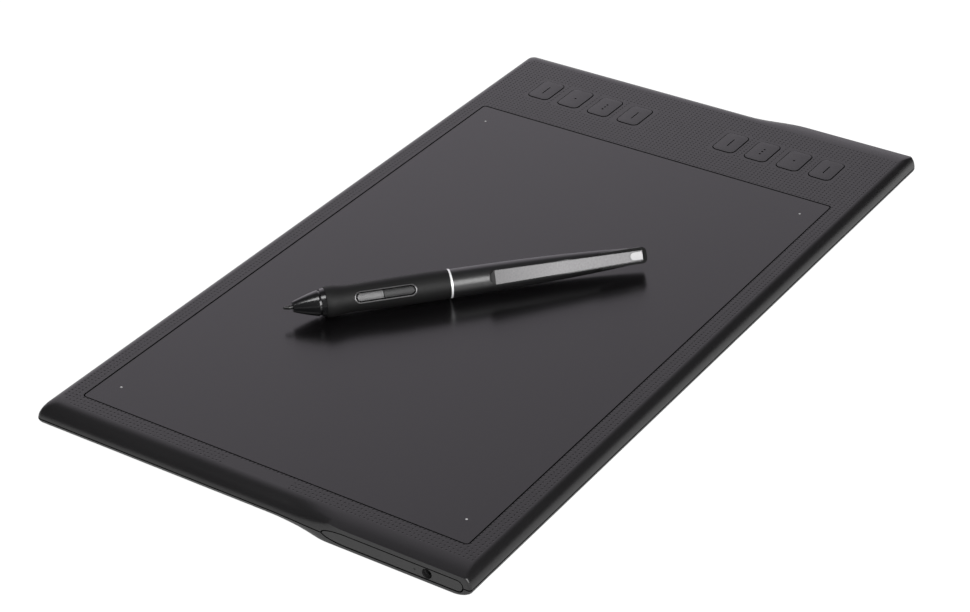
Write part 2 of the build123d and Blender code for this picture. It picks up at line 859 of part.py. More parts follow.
# Half profile of the stylus over the grip, down to a given radius
def grip_section(grow, inner_radius):
    with BuildSketch(pen_side) as section:
        with BuildLine():
            Polyline(
                (ring_start, grip_back + grow),
                (ring_start, inner_radius),
                (grip_start, inner_radius),
                (grip_start, grip_front + grow - grip_edge_round),
                (grip_start + grip_edge_round, grip_front + grow),
            )
            Spline(
                (grip_start + grip_edge_round, grip_front + grow),
                (grip_bulge_at, grip_bulge_diameter / 2 + grow),
                (grip_neck_at, grip_neck_diameter / 2 + grow),
                (grip_waist_at, grip_waist_diameter / 2 + grow),
                (grip_belly_at, grip_belly_diameter / 2 + grow),
                (ring_start, grip_back + grow),
            )
        make_face()
    return section.sketch


# Ring of one radius between two places on the stylus axis
def pen_ring(start, end, outer_radius, inner_radius):
    with BuildSketch(pen_side) as section:
        Polygon(
            (start, inner_radius),
            (end, inner_radius),
            (end, outer_radius),
            (start, outer_radius),
            align=None,
        )
    return section.sketch


# Racetrack seen along the clip direction, from the stylus axis outwards
def racetrack(length, width):
    with BuildSketch(pen_top) as outline:
        with Locations((bezel_middle, 0)):
            SlotOverall(length, width)
    return outline.sketch


# Half of a racetrack, on the front or the rear side of the split between the buttons
def half_racetrack(level, length, width, side):
    with BuildSketch(pen_top.offset(level)) as outline:
        with Locations((bezel_middle, 0)):
            SlotOverall(length, width)
        with Locations((button_split + side * (button_split_gap + pen_length) / 2, 0)):
            Rectangle(pen_length, pen_length, mode=Mode.INTERSECT)
    return outline.sketch


# Nib that slides in the cone
with BuildPart() as nib:
    with BuildSketch(pen_side):
        Polygon(
            (0, 0),
            (0, nib_point_diameter / 2),
            (nib_taper, nib_diameter / 2),
            (nib_length, nib_diameter / 2),
            (nib_length, 0),
            align=None,
        )
    revolve(axis=pen_axis)
    fillet(nib.edges().sort_by(pen_axis)[0], radius=nib_tip_round)
write(nib.part, "nib")

# Nose cone, swelling slightly, with a groove before the grip and a seat for the inner tube
cone_middle = (cone_start + grip_start) / 2
groove_centre = grip_start - cone_groove_setback
with BuildPart() as nib_cone:
    with BuildSketch(pen_side):
        with BuildLine():
            Polyline(
                (grip_start, cone_back_diameter / 2),
                (grip_start, sleeve_radius),
                (grip_start - tube_lap, sleeve_radius),
                (grip_start - tube_lap, tube_bore),
                (coil_start - works_gap, tube_bore),
                (coil_start - works_gap - cone_cavity_lead, nib_bore),
                (cone_start, nib_bore),
                (cone_start, cone_front_diameter / 2),
            )
            ThreePointArc(
                (cone_start, cone_front_diameter / 2),
                (cone_middle, (cone_front_diameter + cone_back_diameter) / 4 + cone_swell),
                (grip_start, cone_back_diameter / 2),
            )
        make_face()
    revolve(axis=pen_axis)
    groove_share = (groove_centre - cone_start) / (grip_start - cone_start)
    groove_radius = cone_front_diameter / 2 + groove_share * (cone_back_diameter - cone_front_diameter) / 2
    groove_start = groove_centre - cone_groove_width / 2
    groove_end = groove_centre + cone_groove_width / 2
    revolve(
        pen_ring(groove_start, groove_end, grip_front, groove_radius - cone_groove_depth),
        axis=pen_axis,
        mode=Mode.SUBTRACT,
    )
write(nib_cone.part, "nib_cone")

# Tube that carries the stylus works, open under the buttons
with BuildPart() as inner_tube:
    revolve(pen_ring(grip_start - tube_lap, tube_end, tube_radius, tube_bore), axis=pen_axis)
    tube_window_length = button_length + 2 * (button_flange + button_gap)
    tube_window_width = button_width + 2 * (button_flange + button_gap)
    extrude(racetrack(tube_window_length, tube_window_width), amount=tube_diameter, mode=Mode.SUBTRACT)
write(inner_tube.part, "inner_tube")

# Rubber grip with the opening for the buttons
with BuildPart() as grip:
    revolve(grip_section(0, sleeve_radius), axis=pen_axis)
    extrude(
        racetrack(bezel_length + 2 * bezel_gap, bezel_width + 2 * bezel_gap),
        amount=grip_front_diameter,
        mode=Mode.SUBTRACT,
    )
write(grip.part, "grip")

# Rim round the buttons, following the grip, with a sunk shelf inside it
with BuildPart() as bezel_shelf:
    revolve(grip_section(-bezel_shelf_depth, sleeve_radius), axis=pen_axis)
    shelf_outline = racetrack(bezel_length - bezel_rim, bezel_width - bezel_rim)
    extrude(shelf_outline, amount=grip_front_diameter, mode=Mode.INTERSECT)

with BuildPart() as button_bezel:
    revolve(grip_section(bezel_proud, sleeve_radius), axis=pen_axis)
    extrude(racetrack(bezel_length, bezel_width), amount=grip_front_diameter, mode=Mode.INTERSECT)
    rim_opening = racetrack(bezel_length - 2 * bezel_rim, bezel_width - 2 * bezel_rim)
    extrude(rim_opening, amount=grip_front_diameter, mode=Mode.SUBTRACT)
    add(bezel_shelf.part)
    extrude(racetrack(window_length, window_width), amount=grip_front_diameter, mode=Mode.SUBTRACT)
write(button_bezel.part, "button_bezel")

# Rib across the front button at the split, and the dimple near its front end
with BuildPart() as split_rib:
    revolve(grip_section(button_proud + split_rib_proud, 0), axis=pen_axis)
    rib_outline = half_racetrack(flange_bottom, button_length, button_width, -1)
    extrude(rib_outline, amount=grip_front_diameter, mode=Mode.INTERSECT)
    revolve(
        pen_ring(rib_end - split_rib_width, rib_end, grip_front_diameter, 0),
        axis=pen_axis,
        mode=Mode.INTERSECT,
    )

with BuildPart() as touch_dimple:
    with BuildSketch(pen_top.offset(touch_dimple_floor)):
        with Locations((touch_dimple_at, 0)):
            Circle(touch_dimple_diameter / 2)
    extrude(amount=grip_front_diameter)

# Two rocker halves, each with a flange under the rim and a stem over its switch
for name, side, stem_at in (("button_front", -1, front_button_at), ("button_rear", 1, rear_button_at)):
    with BuildPart() as button:
        revolve(grip_section(button_proud, 0), axis=pen_axis)
        cap_outline = half_racetrack(flange_bottom, button_length, button_width, side)
        extrude(cap_outline, amount=grip_front_diameter, mode=Mode.INTERSECT)
        flange_length = button_length + 2 * button_flange
        flange_outline = half_racetrack(flange_bottom, flange_length, 2 * flange_half, side)
        extrude(flange_outline, amount=button_flange_thickness)
        with BuildSketch(pen_top.offset(button_stem_bottom)):
            with Locations((stem_at, 0)):
                Circle(button_stem_diameter / 2)
        extrude(amount=flange_bottom - button_stem_bottom)
        if name == "button_front":
            add(split_rib.part)
            add(touch_dimple.part, mode=Mode.SUBTRACT)
    write(button.part, name)

# Bright ring between grip and barrel
with BuildPart() as trim_ring:
    revolve(pen_ring(ring_start, ring_end, ring_radius, sleeve_radius), axis=pen_axis)
write(trim_ring.part, "trim_ring")


# Level of the clip's flat top at a place on the stylus axis
def clip_level(at):
    return clip_back_lift + clip_slope * (clip_end - at)


# Room the clip needs: everything above its underside, within its outline and a gap
clip_front = clip_start - clip_nose_length
room_front = clip_front - clip_gap
room_back = clip_end + clip_gap
with BuildPart() as clip_room:
    with BuildSketch(pen_side):
        Polygon(
            (room_front, clip_level(room_front) - clip_thickness - clip_gap),
            (room_back, clip_level(room_back) - clip_thickness - clip_gap),
            (room_back, grip_front_diameter),
            (room_front, grip_front_diameter),
            align=None,
        )
    extrude(amount=grip_front_diameter, both=True)
    with BuildSketch(pen_top):
        Polygon(
            (room_front, -clip_front_width / 2 - clip_gap),
            (room_back, -clip_back_width / 2 - clip_gap),
            (room_back, clip_back_width / 2 + clip_gap),
            (room_front, clip_front_width / 2 + clip_gap),
            align=None,
        )
    extrude(amount=grip_front_diameter, mode=Mode.INTERSECT)

# Squared frame that stands round the end of the clip, and the rear of the stylus in one form with it
frame_start = pen_length - frame_length
with BuildPart() as clip_frame:
    with BuildSketch(pen_side):
        Polygon(
            (frame_start, -frame_sink),
            (pen_length, -frame_sink),
            (pen_length, clip_level(pen_length)),
            (frame_start, clip_level(frame_start)),
            align=None,
        )
    extrude(amount=frame_width, both=True)
    with BuildSketch(pen_top.offset(-frame_sink)):
        with Locations((frame_start, 0)):
            RectangleRounded(2 * frame_length, frame_width, tail_corner_round)
    extrude(amount=grip_front_diameter, mode=Mode.INTERSECT)

with BuildPart() as rear_form:
    with BuildSketch(pen_side):
        with BuildLine():
            Spline(
                (ring_end, -barrel_front_diameter / 2),
                (barrel_middle_at, -barrel_middle_diameter / 2),
                (barrel_late_at, -barrel_late_diameter / 2),
                (pen_length, -barrel_back_diameter / 2),
            )
            Polyline(
                (pen_length, -barrel_back_diameter / 2),
                (pen_length, 0),
                (ring_end, 0),
                (ring_end, -barrel_front_diameter / 2),
            )
        make_face()
    revolve(axis=pen_axis)
    add(clip_frame.part)

# Rear barrel, bored for the inner tube, the cell and the tail plug, with the channel for the clip
plug_bore = tail_plug_diameter / 2 + sleeve_gap
with BuildPart() as rear_barrel:
    add(rear_form.part)
    revolve(pen_ring(ring_end, tube_end + works_gap, sleeve_radius, 0), axis=pen_axis, mode=Mode.SUBTRACT)
    revolve(pen_ring(tube_end, cell_end, cell_radius, 0), axis=pen_axis, mode=Mode.SUBTRACT)
    revolve(pen_ring(cell_end, pen_length, plug_bore, 0), axis=pen_axis, mode=Mode.SUBTRACT)
    revolve(pen_ring(barrel_end, pen_length, grip_front, 0), axis=pen_axis, mode=Mode.SUBTRACT)
    add(clip_room.part, mode=Mode.SUBTRACT)
write(rear_barrel.part, "rear_barrel")

# Tail cap that closes the barrel behind the clip
with BuildPart() as tail_cap:
    add(rear_form.part)
    revolve(
        pen_ring(barrel_end + tail_joint_gap, pen_length, grip_front, 0), axis=pen_axis, mode=Mode.INTERSECT
    )
    plug_front = barrel_end - tail_plug_length
    revolve(pen_ring(plug_front, barrel_end + tail_joint_gap, tail_plug_diameter / 2, 0), axis=pen_axis)
    add(clip_room.part, mode=Mode.SUBTRACT)
write(tail_cap.part, "tail_cap")

# Clip: a straight tapering plate that sinks towards the tail, with a rounded nose turned down at its front
inlay_end = clip_end - inlay_setback


# Outline of the inlay near the end of the clip: square towards the tail, round towards the nose
def inlay_outline(grow):
    round_at = inlay_end - inlay_length + inlay_width / 2
    half_width = inlay_width / 2 + grow
    with BuildSketch(pen_top) as outline:
        with BuildLine():
            CenterArc((round_at, 0), half_width, 90, 180)
            Polyline(
                (round_at, -half_width),
                (inlay_end + grow, -half_width),
                (inlay_end + grow, half_width),
                (round_at, half_width),
            )
        make_face()
    return outline.sketch


# Slice that follows the top of the clip where the inlay lies, down to its seat
def inlay_slice(grow):
    start = inlay_end - inlay_length - grow
    end = inlay_end + grow
    with BuildSketch(pen_side) as section:
        Polygon(
            (start, clip_level(start) - inlay_thickness),
            (end, clip_level(end) - inlay_thickness),
            (end, clip_level(end) + inlay_proud),
            (start, clip_level(start) + inlay_proud),
            align=None,
        )
    return section.sketch


with BuildPart() as inlay_pocket:
    extrude(inlay_slice(inlay_gap), amount=inlay_width, both=True)
    extrude(inlay_outline(inlay_gap), amount=grip_front_diameter, mode=Mode.INTERSECT)

with BuildPart() as clip:
    with BuildSketch(pen_side):
        Polygon(
            (clip_front, clip_level(clip_front) - clip_thickness),
            (clip_end, clip_level(clip_end) - clip_thickness),
            (clip_end, clip_level(clip_end)),
            (clip_start, clip_level(clip_start)),
            (clip_front, clip_level(clip_front) - clip_nose_drop),
            align=None,
        )
    extrude(amount=clip_front_width, both=True)
    with BuildSketch(pen_top):
        with BuildLine():
            ThreePointArc(
                (clip_start, -clip_front_width / 2),
                (clip_front, 0),
                (clip_start, clip_front_width / 2),
            )
            Polyline(
                (clip_start, clip_front_width / 2),
                (clip_end, clip_back_width / 2),
                (clip_end, -clip_back_width / 2),
                (clip_start, -clip_front_width / 2),
            )
        make_face()
    extrude(amount=grip_front_diameter, mode=Mode.INTERSECT)
    flat_sides = clip.faces().sort_by(SortBy.AREA)[-2:]
    flat_top = flat_sides.sort_by(Axis(pen_tip, clip_dir))[-1]
    fillet(flat_top.edges(), radius=clip_edge_round)
    add(inlay_pocket.part, mode=Mode.SUBTRACT)
write(clip.part, "clip")

with BuildPart() as clip_inlay:
    extrude(inlay_slice(0), amount=inlay_width, both=True)
    extrude(inlay_outline(0), amount=grip_front_diameter, mode=Mode.INTERSECT)
write(clip_inlay.part, "clip_inlay")

# Stylus works: coil round the nib, pressure sensor behind it, board with two switches, cell
with BuildPart() as coil:
    revolve(pen_ring(coil_start, coil_end, works_radius, coil_bore / 2), axis=pen_axis)
write(coil.part, "coil")

with BuildPart() as pressure_sensor:
    revolve(pen_ring(gauge_start, gauge_end, works_radius, 0), axis=pen_axis)
write(pressure_sensor.part, "pressure_sensor")

with BuildPart() as pen_board:
    with BuildSketch(pen_top.offset(-pen_board_drop)):
        with Locations(((pen_board_start + pen_board_end) / 2, 0)):
            Rectangle(pen_board_end - pen_board_start, pen_board_width)
    extrude(amount=pen_board_thickness)
    with BuildSketch(pen_top.offset(pen_board_thickness - pen_board_drop)):
        with Locations((front_button_at, 0), (rear_button_at, 0)):
            Rectangle(pen_switch_size, pen_switch_size)
    extrude(amount=pen_switch_height)
write(pen_board.part, "pen_board")

with BuildPart() as pen_battery:
    revolve(pen_ring(cell_start, cell_end - works_gap, cell_diameter / 2, 0), axis=pen_axis)
write(pen_battery.part, "pen_battery")
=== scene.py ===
"""Looks of a slim graphics tablet with its stylus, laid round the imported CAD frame."""

import math

import bmesh
import bpy
from mathutils import Matrix, Vector


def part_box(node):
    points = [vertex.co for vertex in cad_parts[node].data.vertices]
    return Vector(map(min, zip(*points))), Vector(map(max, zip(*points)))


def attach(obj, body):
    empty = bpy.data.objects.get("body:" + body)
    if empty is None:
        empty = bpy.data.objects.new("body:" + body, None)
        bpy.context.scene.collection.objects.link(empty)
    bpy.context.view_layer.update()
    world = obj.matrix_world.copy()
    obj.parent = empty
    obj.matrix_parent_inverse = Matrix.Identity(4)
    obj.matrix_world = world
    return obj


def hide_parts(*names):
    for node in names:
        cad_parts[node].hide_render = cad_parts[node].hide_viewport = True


bl_info = {
    "name": "Graphics Tablet",
    "version": (1, 0, 0),
    "blender": (4, 5, 0),
    "location": "View3D > Sidebar > Tablet",
    "description": "Dresses a graphics tablet and its stylus, and sets a plain studio round them",
    "category": "Object",
}

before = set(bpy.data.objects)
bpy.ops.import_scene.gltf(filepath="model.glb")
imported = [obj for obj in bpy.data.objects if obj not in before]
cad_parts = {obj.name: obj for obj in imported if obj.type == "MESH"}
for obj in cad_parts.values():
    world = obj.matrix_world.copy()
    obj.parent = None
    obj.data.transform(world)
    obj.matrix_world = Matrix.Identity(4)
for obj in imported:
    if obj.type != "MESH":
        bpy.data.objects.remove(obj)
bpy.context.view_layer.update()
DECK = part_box("top_cover")[1].z
KEYS = [f"key_{number}" for number in range(1, 9)]
KEY_MARKS = ("line", "dot", "dots", "line", "line", "dots", "dot", "line")
MM = 0.001
# Near-black that stands in for the shade in gaps, grooves and seams: painted shade
PAINTED_SHADE_BLACK = (0.001, 0.001, 0.001)

# Angles in degrees from which an edge is sharp, in general and along the rims of the dimples
SHARP_ANGLE = 32
DIMPLE_RIM_ANGLE = 8

# Tolerances in metres: for joining the corners of a mesh, and for telling what lies at a height
WELD = 1e-6
LEVEL = 0.002 * MM

# How squarely a face looks outwards, and how little it lies under the outermost point, to be the flat face
FLAT_FACING = 0.999
FLAT_DEPTH = 0.02 * MM
KEY_TOP_FACING = 0.93
KEY_TOP_DEPTH = 0.05 * MM

# Sides of a printed corner dot, and the share of its width that its top has
DOT_SIDES = 24
DOT_TAPER = 0.94

# Shares of a dimple's diameter and depth that its cutter has: lid above the deck, floor, height
CUTTER_LID = 0.62
CUTTER_FLOOR = 0.26
CUTTER_HEIGHT = 1.5
CUTTER_SIDES = 8

# Limits of the dimples on the deck, from the ends and sides of the case, and what stays plain inside them
DIMPLE_END_MARGIN = 10.0 * MM
DIMPLE_SIDE_MARGIN = 5.5 * MM
DIMPLE_CORNER = 4.5 * MM
LIGHT_REACH = 0.5 * MM
KEY_OVERLAP = 0.3 * MM
PLAIN_PATCH_X = (179.0 * MM, 186.0 * MM)
PLAIN_PATCH_Y = (-17.5 * MM, 16.0 * MM)

# Half heights of the near-black bands of painted shade at the seam and at the top of the lower shell
SEAM_SHADE_HALF = 0.22 * MM
LIP_SHADE_HALF = 0.14 * MM

# Radii round the holes of an insert inside which it has no band of painted shade
SOCKET_MOUTH = 2.33 * MM
PIN_MOUTH = 0.8 * MM

# Stylus: the side that its clip and buttons face, and how far from its axis the rim round them begins,
# which wears a painted highlight
CLIP_WAY = Vector((0.5788, 0.6500, 0.4924))
RIM_RADIUS = 6.24 * MM

# Where the clip's tone changes, as painted light that grows towards the tail, where its nose in painted
# shade ends and where the squared frame begins, behind the middle of the ring
CLIP_GRADE_START = 18 * MM
CLIP_GRADE_LENGTH = 32 * MM
CLIP_NOSE_END = 19.4 * MM
FRAME_START = 67.0 * MM

# How squarely a face looks the clip's way on the top of the clip, and on the top of the frame; faces of
# the nose below the first and of the frame above the second wear painted shade
CLIP_TOP_FACING = 0.985
FRAME_TOP_FACING = 0.97

# Camera: its angles in degrees and place in metres, and the ways of the backdrop and of the brighter side
CAMERA_AZIMUTH = 123.851
CAMERA_ELEVATION = 32.002
CAMERA_ROLL = -1.0643
CAMERA_PLACE = (0.8386, 0.5503, 0.6205)
CAMERA_LENS = 96.909
SENSOR_WIDTH = 36.0
BACKDROP_WAY = (-0.78, -0.56, 0.22)
BRIGHT_SIDE = (0.557, -0.830, 0.0)

# Floor: half its width, the share of it that glows, its glow to the camera and its change in reflections
FLOOR_HALF = 6.0
GLOW_SHARE = 0.86
GLOW_SEEN = 1.14
GLOW_MIRRORED = -0.22

# Soft boxes: direction, distance, width in metres and power in watts
LAMP_TARGET = Vector((0.03, 0.0, 0.02))
LAMPS = (
    ("lamp_over", (0.407, 0.0, 0.909), 1.5, 0.42, 6.2),
    ("lamp_side", (0.42, 0.79, 0.44), 1.6, 1.0, 26.0),
)


# Sizes and colours that a user would change

class TabletSizes(bpy.types.PropertyGroup):
    dimple_pitch: bpy.props.FloatProperty(
        name="Dimple pitch", description="Distance from one dimple of the deck to the next",
        default=2.032 * MM, unit="LENGTH", precision=5)
    dimple_diameter: bpy.props.FloatProperty(
        name="Dimple diameter", description="Width of a dimple at the deck",
        default=1.0 * MM, unit="LENGTH", precision=5)
    dimple_depth: bpy.props.FloatProperty(
        name="Dimple depth", description="How deep a dimple goes",
        default=0.11 * MM, unit="LENGTH", precision=5)
    dimple_clearance: bpy.props.FloatProperty(
        name="Dimple clearance", description="Plain band left round keys, light and work surface",
        default=0.25 * MM, unit="LENGTH", precision=5)
    mark_depth: bpy.props.FloatProperty(
        name="Mark depth", description="Depth of the marks engraved in the keys",
        default=0.35 * MM, unit="LENGTH", precision=5)
    mark_length: bpy.props.FloatProperty(
        name="Mark length", description="Length of an engraved line",
        default=7.5 * MM, unit="LENGTH", precision=5)
    mark_width: bpy.props.FloatProperty(
        name="Mark width", description="Width of an engraved line",
        default=0.55 * MM, unit="LENGTH", precision=5)
    mark_dot: bpy.props.FloatProperty(
        name="Mark dot", description="Diameter of an engraved dot",
        default=1.1 * MM, unit="LENGTH", precision=5)
    mark_dot_pitch: bpy.props.FloatProperty(
        name="Mark dot pitch", description="Distance between the dots of a row of three",
        default=2.4 * MM, unit="LENGTH", precision=5)
    corner_dot: bpy.props.FloatProperty(
        name="Corner dot", description="Diameter of the dots at the corners of the active area",
        default=1.0 * MM, unit="LENGTH", precision=5)
    corner_dot_inset: bpy.props.FloatVectorProperty(
        name="Corner dot inset", description="How far the dots lie inside the edges of the work surface",
        default=(13.5 * MM, 9.5 * MM), size=2, unit="LENGTH", precision=5)
    # Width of the near-black band of painted shade along the edge of the sheet and the inserts, for the
    # shade in the gaps round them
    edge_shade_width: bpy.props.FloatProperty(
        name="Dark edge", description="Width of the dark band along the edge of the sheet and the inserts",
        default=0.28 * MM, unit="LENGTH", precision=5)
    ink_height: bpy.props.FloatProperty(
        name="Ink height", description="Thickness of the printed dots",
        default=0.015 * MM, unit="LENGTH", precision=6)


def colour(label, words, value):
    return bpy.props.FloatVectorProperty(
        name=label, description=words, default=value, size=3, subtype="COLOR", min=0.0, max=1.0)


class TabletColours(bpy.types.PropertyGroup):
    case: colour("Case", "Dark grey moulding of both shells", (0.0085, 0.0082, 0.0086))
    insert: colour("End insert", "Dark grey moulding of the end inserts", (0.013, 0.0128, 0.013))
    sheet: colour("Work surface", "Satin drawing film", (0.0030, 0.0028, 0.0031))
    key: colour("Key", "Dark grey moulding of the press keys", (0.009, 0.0088, 0.0092))
    ink: colour("Corner dots", "Printed dots on the work surface", (0.45, 0.45, 0.45))
    rubber: colour("Feet", "Rubber of the feet", (0.018, 0.018, 0.019))
    cone: colour("Stylus cone", "Polished black moulding", (0.006, 0.006, 0.0065))
    grip: colour("Stylus grip", "Soft black rubber", (0.006, 0.006, 0.0061))
    # Painted highlight: the rim's bright tone stands in for the light caught on its chamfered edge
    bezel: colour("Button rim", "Bright rim round the buttons", (0.11, 0.108, 0.11))
    # Painted light: the two buttons are one satin moulding, the front one painted lighter where light
    # falls and the rear one painted darker
    button_front: colour("Front button", "Satin grey moulding", (0.070, 0.068, 0.070))
    button_rear: colour("Rear button", "Satin dark grey moulding", (0.012, 0.012, 0.0125))
    ring: colour("Stylus ring", "Bright metal ring", (0.86, 0.86, 0.87))
    barrel: colour("Stylus barrel", "Satin black moulding", (0.008, 0.008, 0.0085))
    clip: colour("Clip", "Metallic grey paint", (0.112, 0.110, 0.112))
    inlay: colour("Clip inlay", "Pale metal inlay", (0.245, 0.242, 0.245))


# Node helpers

def new_tree(name):
    material = bpy.data.materials.new(name)
    material.use_nodes = True
    tree = material.node_tree
    return material, tree, tree.nodes["Principled BSDF"]


def add_node(tree, kind, **settings):
    made = tree.nodes.new(kind)
    for key, value in settings.items():
        setattr(made, key, value)
    return made


def noise(tree, size, detail=2.0, roughness=0.5):
    """Noise on Object coordinates whose grains are about size metres across."""
    place = add_node(tree, "ShaderNodeTexCoord")
    made = add_node(tree, "ShaderNodeTexNoise")
    made.inputs["Scale"].default_value = 1 / size
    made.inputs["Detail"].default_value = detail
    made.inputs["Roughness"].default_value = roughness
    tree.links.new(place.outputs["Object"], made.inputs["Vector"])
    return made.outputs["Fac"]


def spread(tree, source, low, high):
    """Maps the middle of a noise to the span from low to high."""
    made = add_node(tree, "ShaderNodeMapRange")
    made.inputs["From Min"].default_value = 0.3
    made.inputs["From Max"].default_value = 0.7
    made.inputs["To Min"].default_value = low
    made.inputs["To Max"].default_value = high
    tree.links.new(source, made.inputs["Value"])
    return made.outputs["Result"]


def two_tones(tree, source, tone, change):
    """Mixes a darker and a lighter version of a tone."""
    made = add_node(tree, "ShaderNodeMix", data_type="RGBA")
    made.inputs["A"].default_value = (*[level * (1 - change) for level in tone], 1)
    made.inputs["B"].default_value = (*[min(1.0, level * (1 + change)) for level in tone], 1)
    tree.links.new(source, made.inputs["Factor"])
    return made.outputs["Result"]


def bump(tree, shader, source, depth):
    made = add_node(tree, "ShaderNodeBump")
    made.inputs["Distance"].default_value = depth
    made.inputs["Strength"].default_value = 1.0
    tree.links.new(source, made.inputs["Height"])
    tree.links.new(made.outputs["Normal"], shader.inputs["Normal"])


def moulding(name, tone, roughness, grain, grain_depth, change=0.12, gloss_spread=0.05, level=0.5):
    """Moulded plastic or rubber: two close tones, an uneven gloss and a fine grain."""
    material, tree, shader = new_tree(name)
    broad = noise(tree, 24 * MM, detail=3.0)
    tree.links.new(two_tones(tree, broad, tone, change), shader.inputs["Base Color"])
    fine = noise(tree, grain, detail=2.0, roughness=0.6)
    tree.links.new(
        spread(tree, fine, roughness - gloss_spread, roughness + gloss_spread), shader.inputs["Roughness"])
    shader.inputs["Specular IOR Level"].default_value = level
    bump(tree, shader, fine, grain_depth)
    return material


def shade(name, level=0.0):
    """Painted shade: a near-black, dull material on a gap's walls and edges, standing in for the shade
    that falls in the gap.
    """
    return moulding(name, PAINTED_SHADE_BLACK, 0.6, 0.4 * MM, 0.002 * MM, level=level)


def metal(name, tone, roughness, grain, grain_depth, metallic=1.0, stretch=1.0, change=0.10):
    """Metal or metallic paint, with a grain that may be drawn out along X."""
    material, tree, shader = new_tree(name)
    place = add_node(tree, "ShaderNodeTexCoord")
    turn = add_node(tree, "ShaderNodeMapping")
    turn.inputs["Scale"].default_value = (1 / stretch, 1, 1)
    fine = add_node(tree, "ShaderNodeTexNoise")
    fine.inputs["Scale"].default_value = 1 / grain
    fine.inputs["Detail"].default_value = 3.0
    tree.links.new(place.outputs["Object"], turn.inputs["Vector"])
    tree.links.new(turn.outputs["Vector"], fine.inputs["Vector"])
    tree.links.new(two_tones(tree, fine.outputs["Fac"], tone, change), shader.inputs["Base Color"])
    tree.links.new(
        spread(tree, fine.outputs["Fac"], roughness - 0.05, roughness + 0.05), shader.inputs["Roughness"])
    shader.inputs["Metallic"].default_value = metallic
    bump(tree, shader, fine.outputs["Fac"], grain_depth)
    return material


def paint_seam_shade(material, centre, half_height):
    """Painted shade: turns a narrow band of heights near-black and dull, standing in for the shade in a
    seam's gap.
    """
    tree = material.node_tree
    shader = tree.nodes["Principled BSDF"]
    place = add_node(tree, "ShaderNodeTexCoord")
    parts = add_node(tree, "ShaderNodeSeparateXYZ")
    tree.links.new(place.outputs["Object"], parts.inputs["Vector"])
    inside = add_node(tree, "ShaderNodeMath", operation="COMPARE")
    inside.inputs[1].default_value = centre
    inside.inputs[2].default_value = half_height
    tree.links.new(parts.outputs["Z"], inside.inputs[0])
    tone = add_node(tree, "ShaderNodeMix", data_type="RGBA")
    tone.inputs["B"].default_value = (*PAINTED_SHADE_BLACK, 1)
    tree.links.new(inside.outputs[0], tone.inputs["Factor"])
    tree.links.new(shader.inputs["Base Color"].links[0].from_socket, tone.inputs["A"])
    tree.links.new(tone.outputs["Result"], shader.inputs["Base Color"])
    gloss = add_node(tree, "ShaderNodeMath", operation="MULTIPLY_ADD")
    level = shader.inputs["Specular IOR Level"].default_value
    gloss.inputs[1].default_value = -level
    gloss.inputs[2].default_value = level
    tree.links.new(inside.outputs[0], gloss.inputs[0])
    tree.links.new(gloss.outputs[0], shader.inputs["Specular IOR Level"])


def paint_light_ramp(material, way, start, stop, low, high):
    """Painted light: scales a finish's tone from low to high along a straight run, standing in for light
    that grows along it.
    """
    tree = material.node_tree
    shader = tree.nodes["Principled BSDF"]
    place = add_node(tree, "ShaderNodeTexCoord")
    along = add_node(tree, "ShaderNodeVectorMath", operation="DOT_PRODUCT")
    along.inputs[1].default_value = way
    tree.links.new(place.outputs["Object"], along.inputs[0])
    share = add_node(tree, "ShaderNodeMapRange")
    share.inputs["From Min"].default_value = start
    share.inputs["From Max"].default_value = stop
    share.inputs["To Min"].default_value = low
    share.inputs["To Max"].default_value = high
    tree.links.new(along.outputs["Value"], share.inputs["Value"])
    tone = add_node(tree, "ShaderNodeVectorMath", operation="SCALE")
    tree.links.new(shader.inputs["Base Color"].links[0].from_socket, tone.inputs[0])
    tree.links.new(share.outputs["Result"], tone.inputs["Scale"])
    tree.links.new(tone.outputs["Vector"], shader.inputs["Base Color"])


# Mesh helpers

def wear(name, material):
    """Gives a CAD node its finish."""
    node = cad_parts[name]
    node.data.materials.clear()
    node.data.materials.append(material)
    return node


def merged_copy(node, name):
    """A closed copy of a CAD node's mesh, ready to be cut."""
    shape = bmesh.new()
    shape.from_mesh(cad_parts[node].data)
    bmesh.ops.remove_doubles(shape, verts=shape.verts, dist=WELD)
    mesh = bpy.data.meshes.new(name)
    shape.to_mesh(mesh)
    shape.free()
    piece = bpy.data.objects.new(name, mesh)
    bpy.context.scene.collection.objects.link(piece)
    return piece


def smooth_by_angle(mesh, rim=math.inf):
    """Smooths the faces but for sharp edges, and sharpens shallower ones along the rims at a height."""
    shape = bmesh.new()
    shape.from_mesh(mesh)
    for face in shape.faces:
        face.smooth = True
    for edge in shape.edges:
        at_rim = all(abs(vert.co.z - rim) < LEVEL for vert in edge.verts)
        limit = math.radians(DIMPLE_RIM_ANGLE if at_rim else SHARP_ANGLE)
        edge.smooth = len(edge.link_faces) == 2 and edge.calc_face_angle(math.pi) < limit
    shape.to_mesh(mesh)
    shape.free()


def with_painted_light_faces(node, name, chosen, main, second, body):
    """A smooth copy of a CAD node whose chosen faces wear a second material, which paints light or shade
    on them.
    """
    piece = merged_copy(node, name)
    piece.data.materials.clear()
    piece.data.materials.append(main)
    piece.data.materials.append(second)
    for face in piece.data.polygons:
        face.material_index = int(chosen(face))
    smooth_by_angle(piece.data)
    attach(piece, body)
    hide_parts(node)


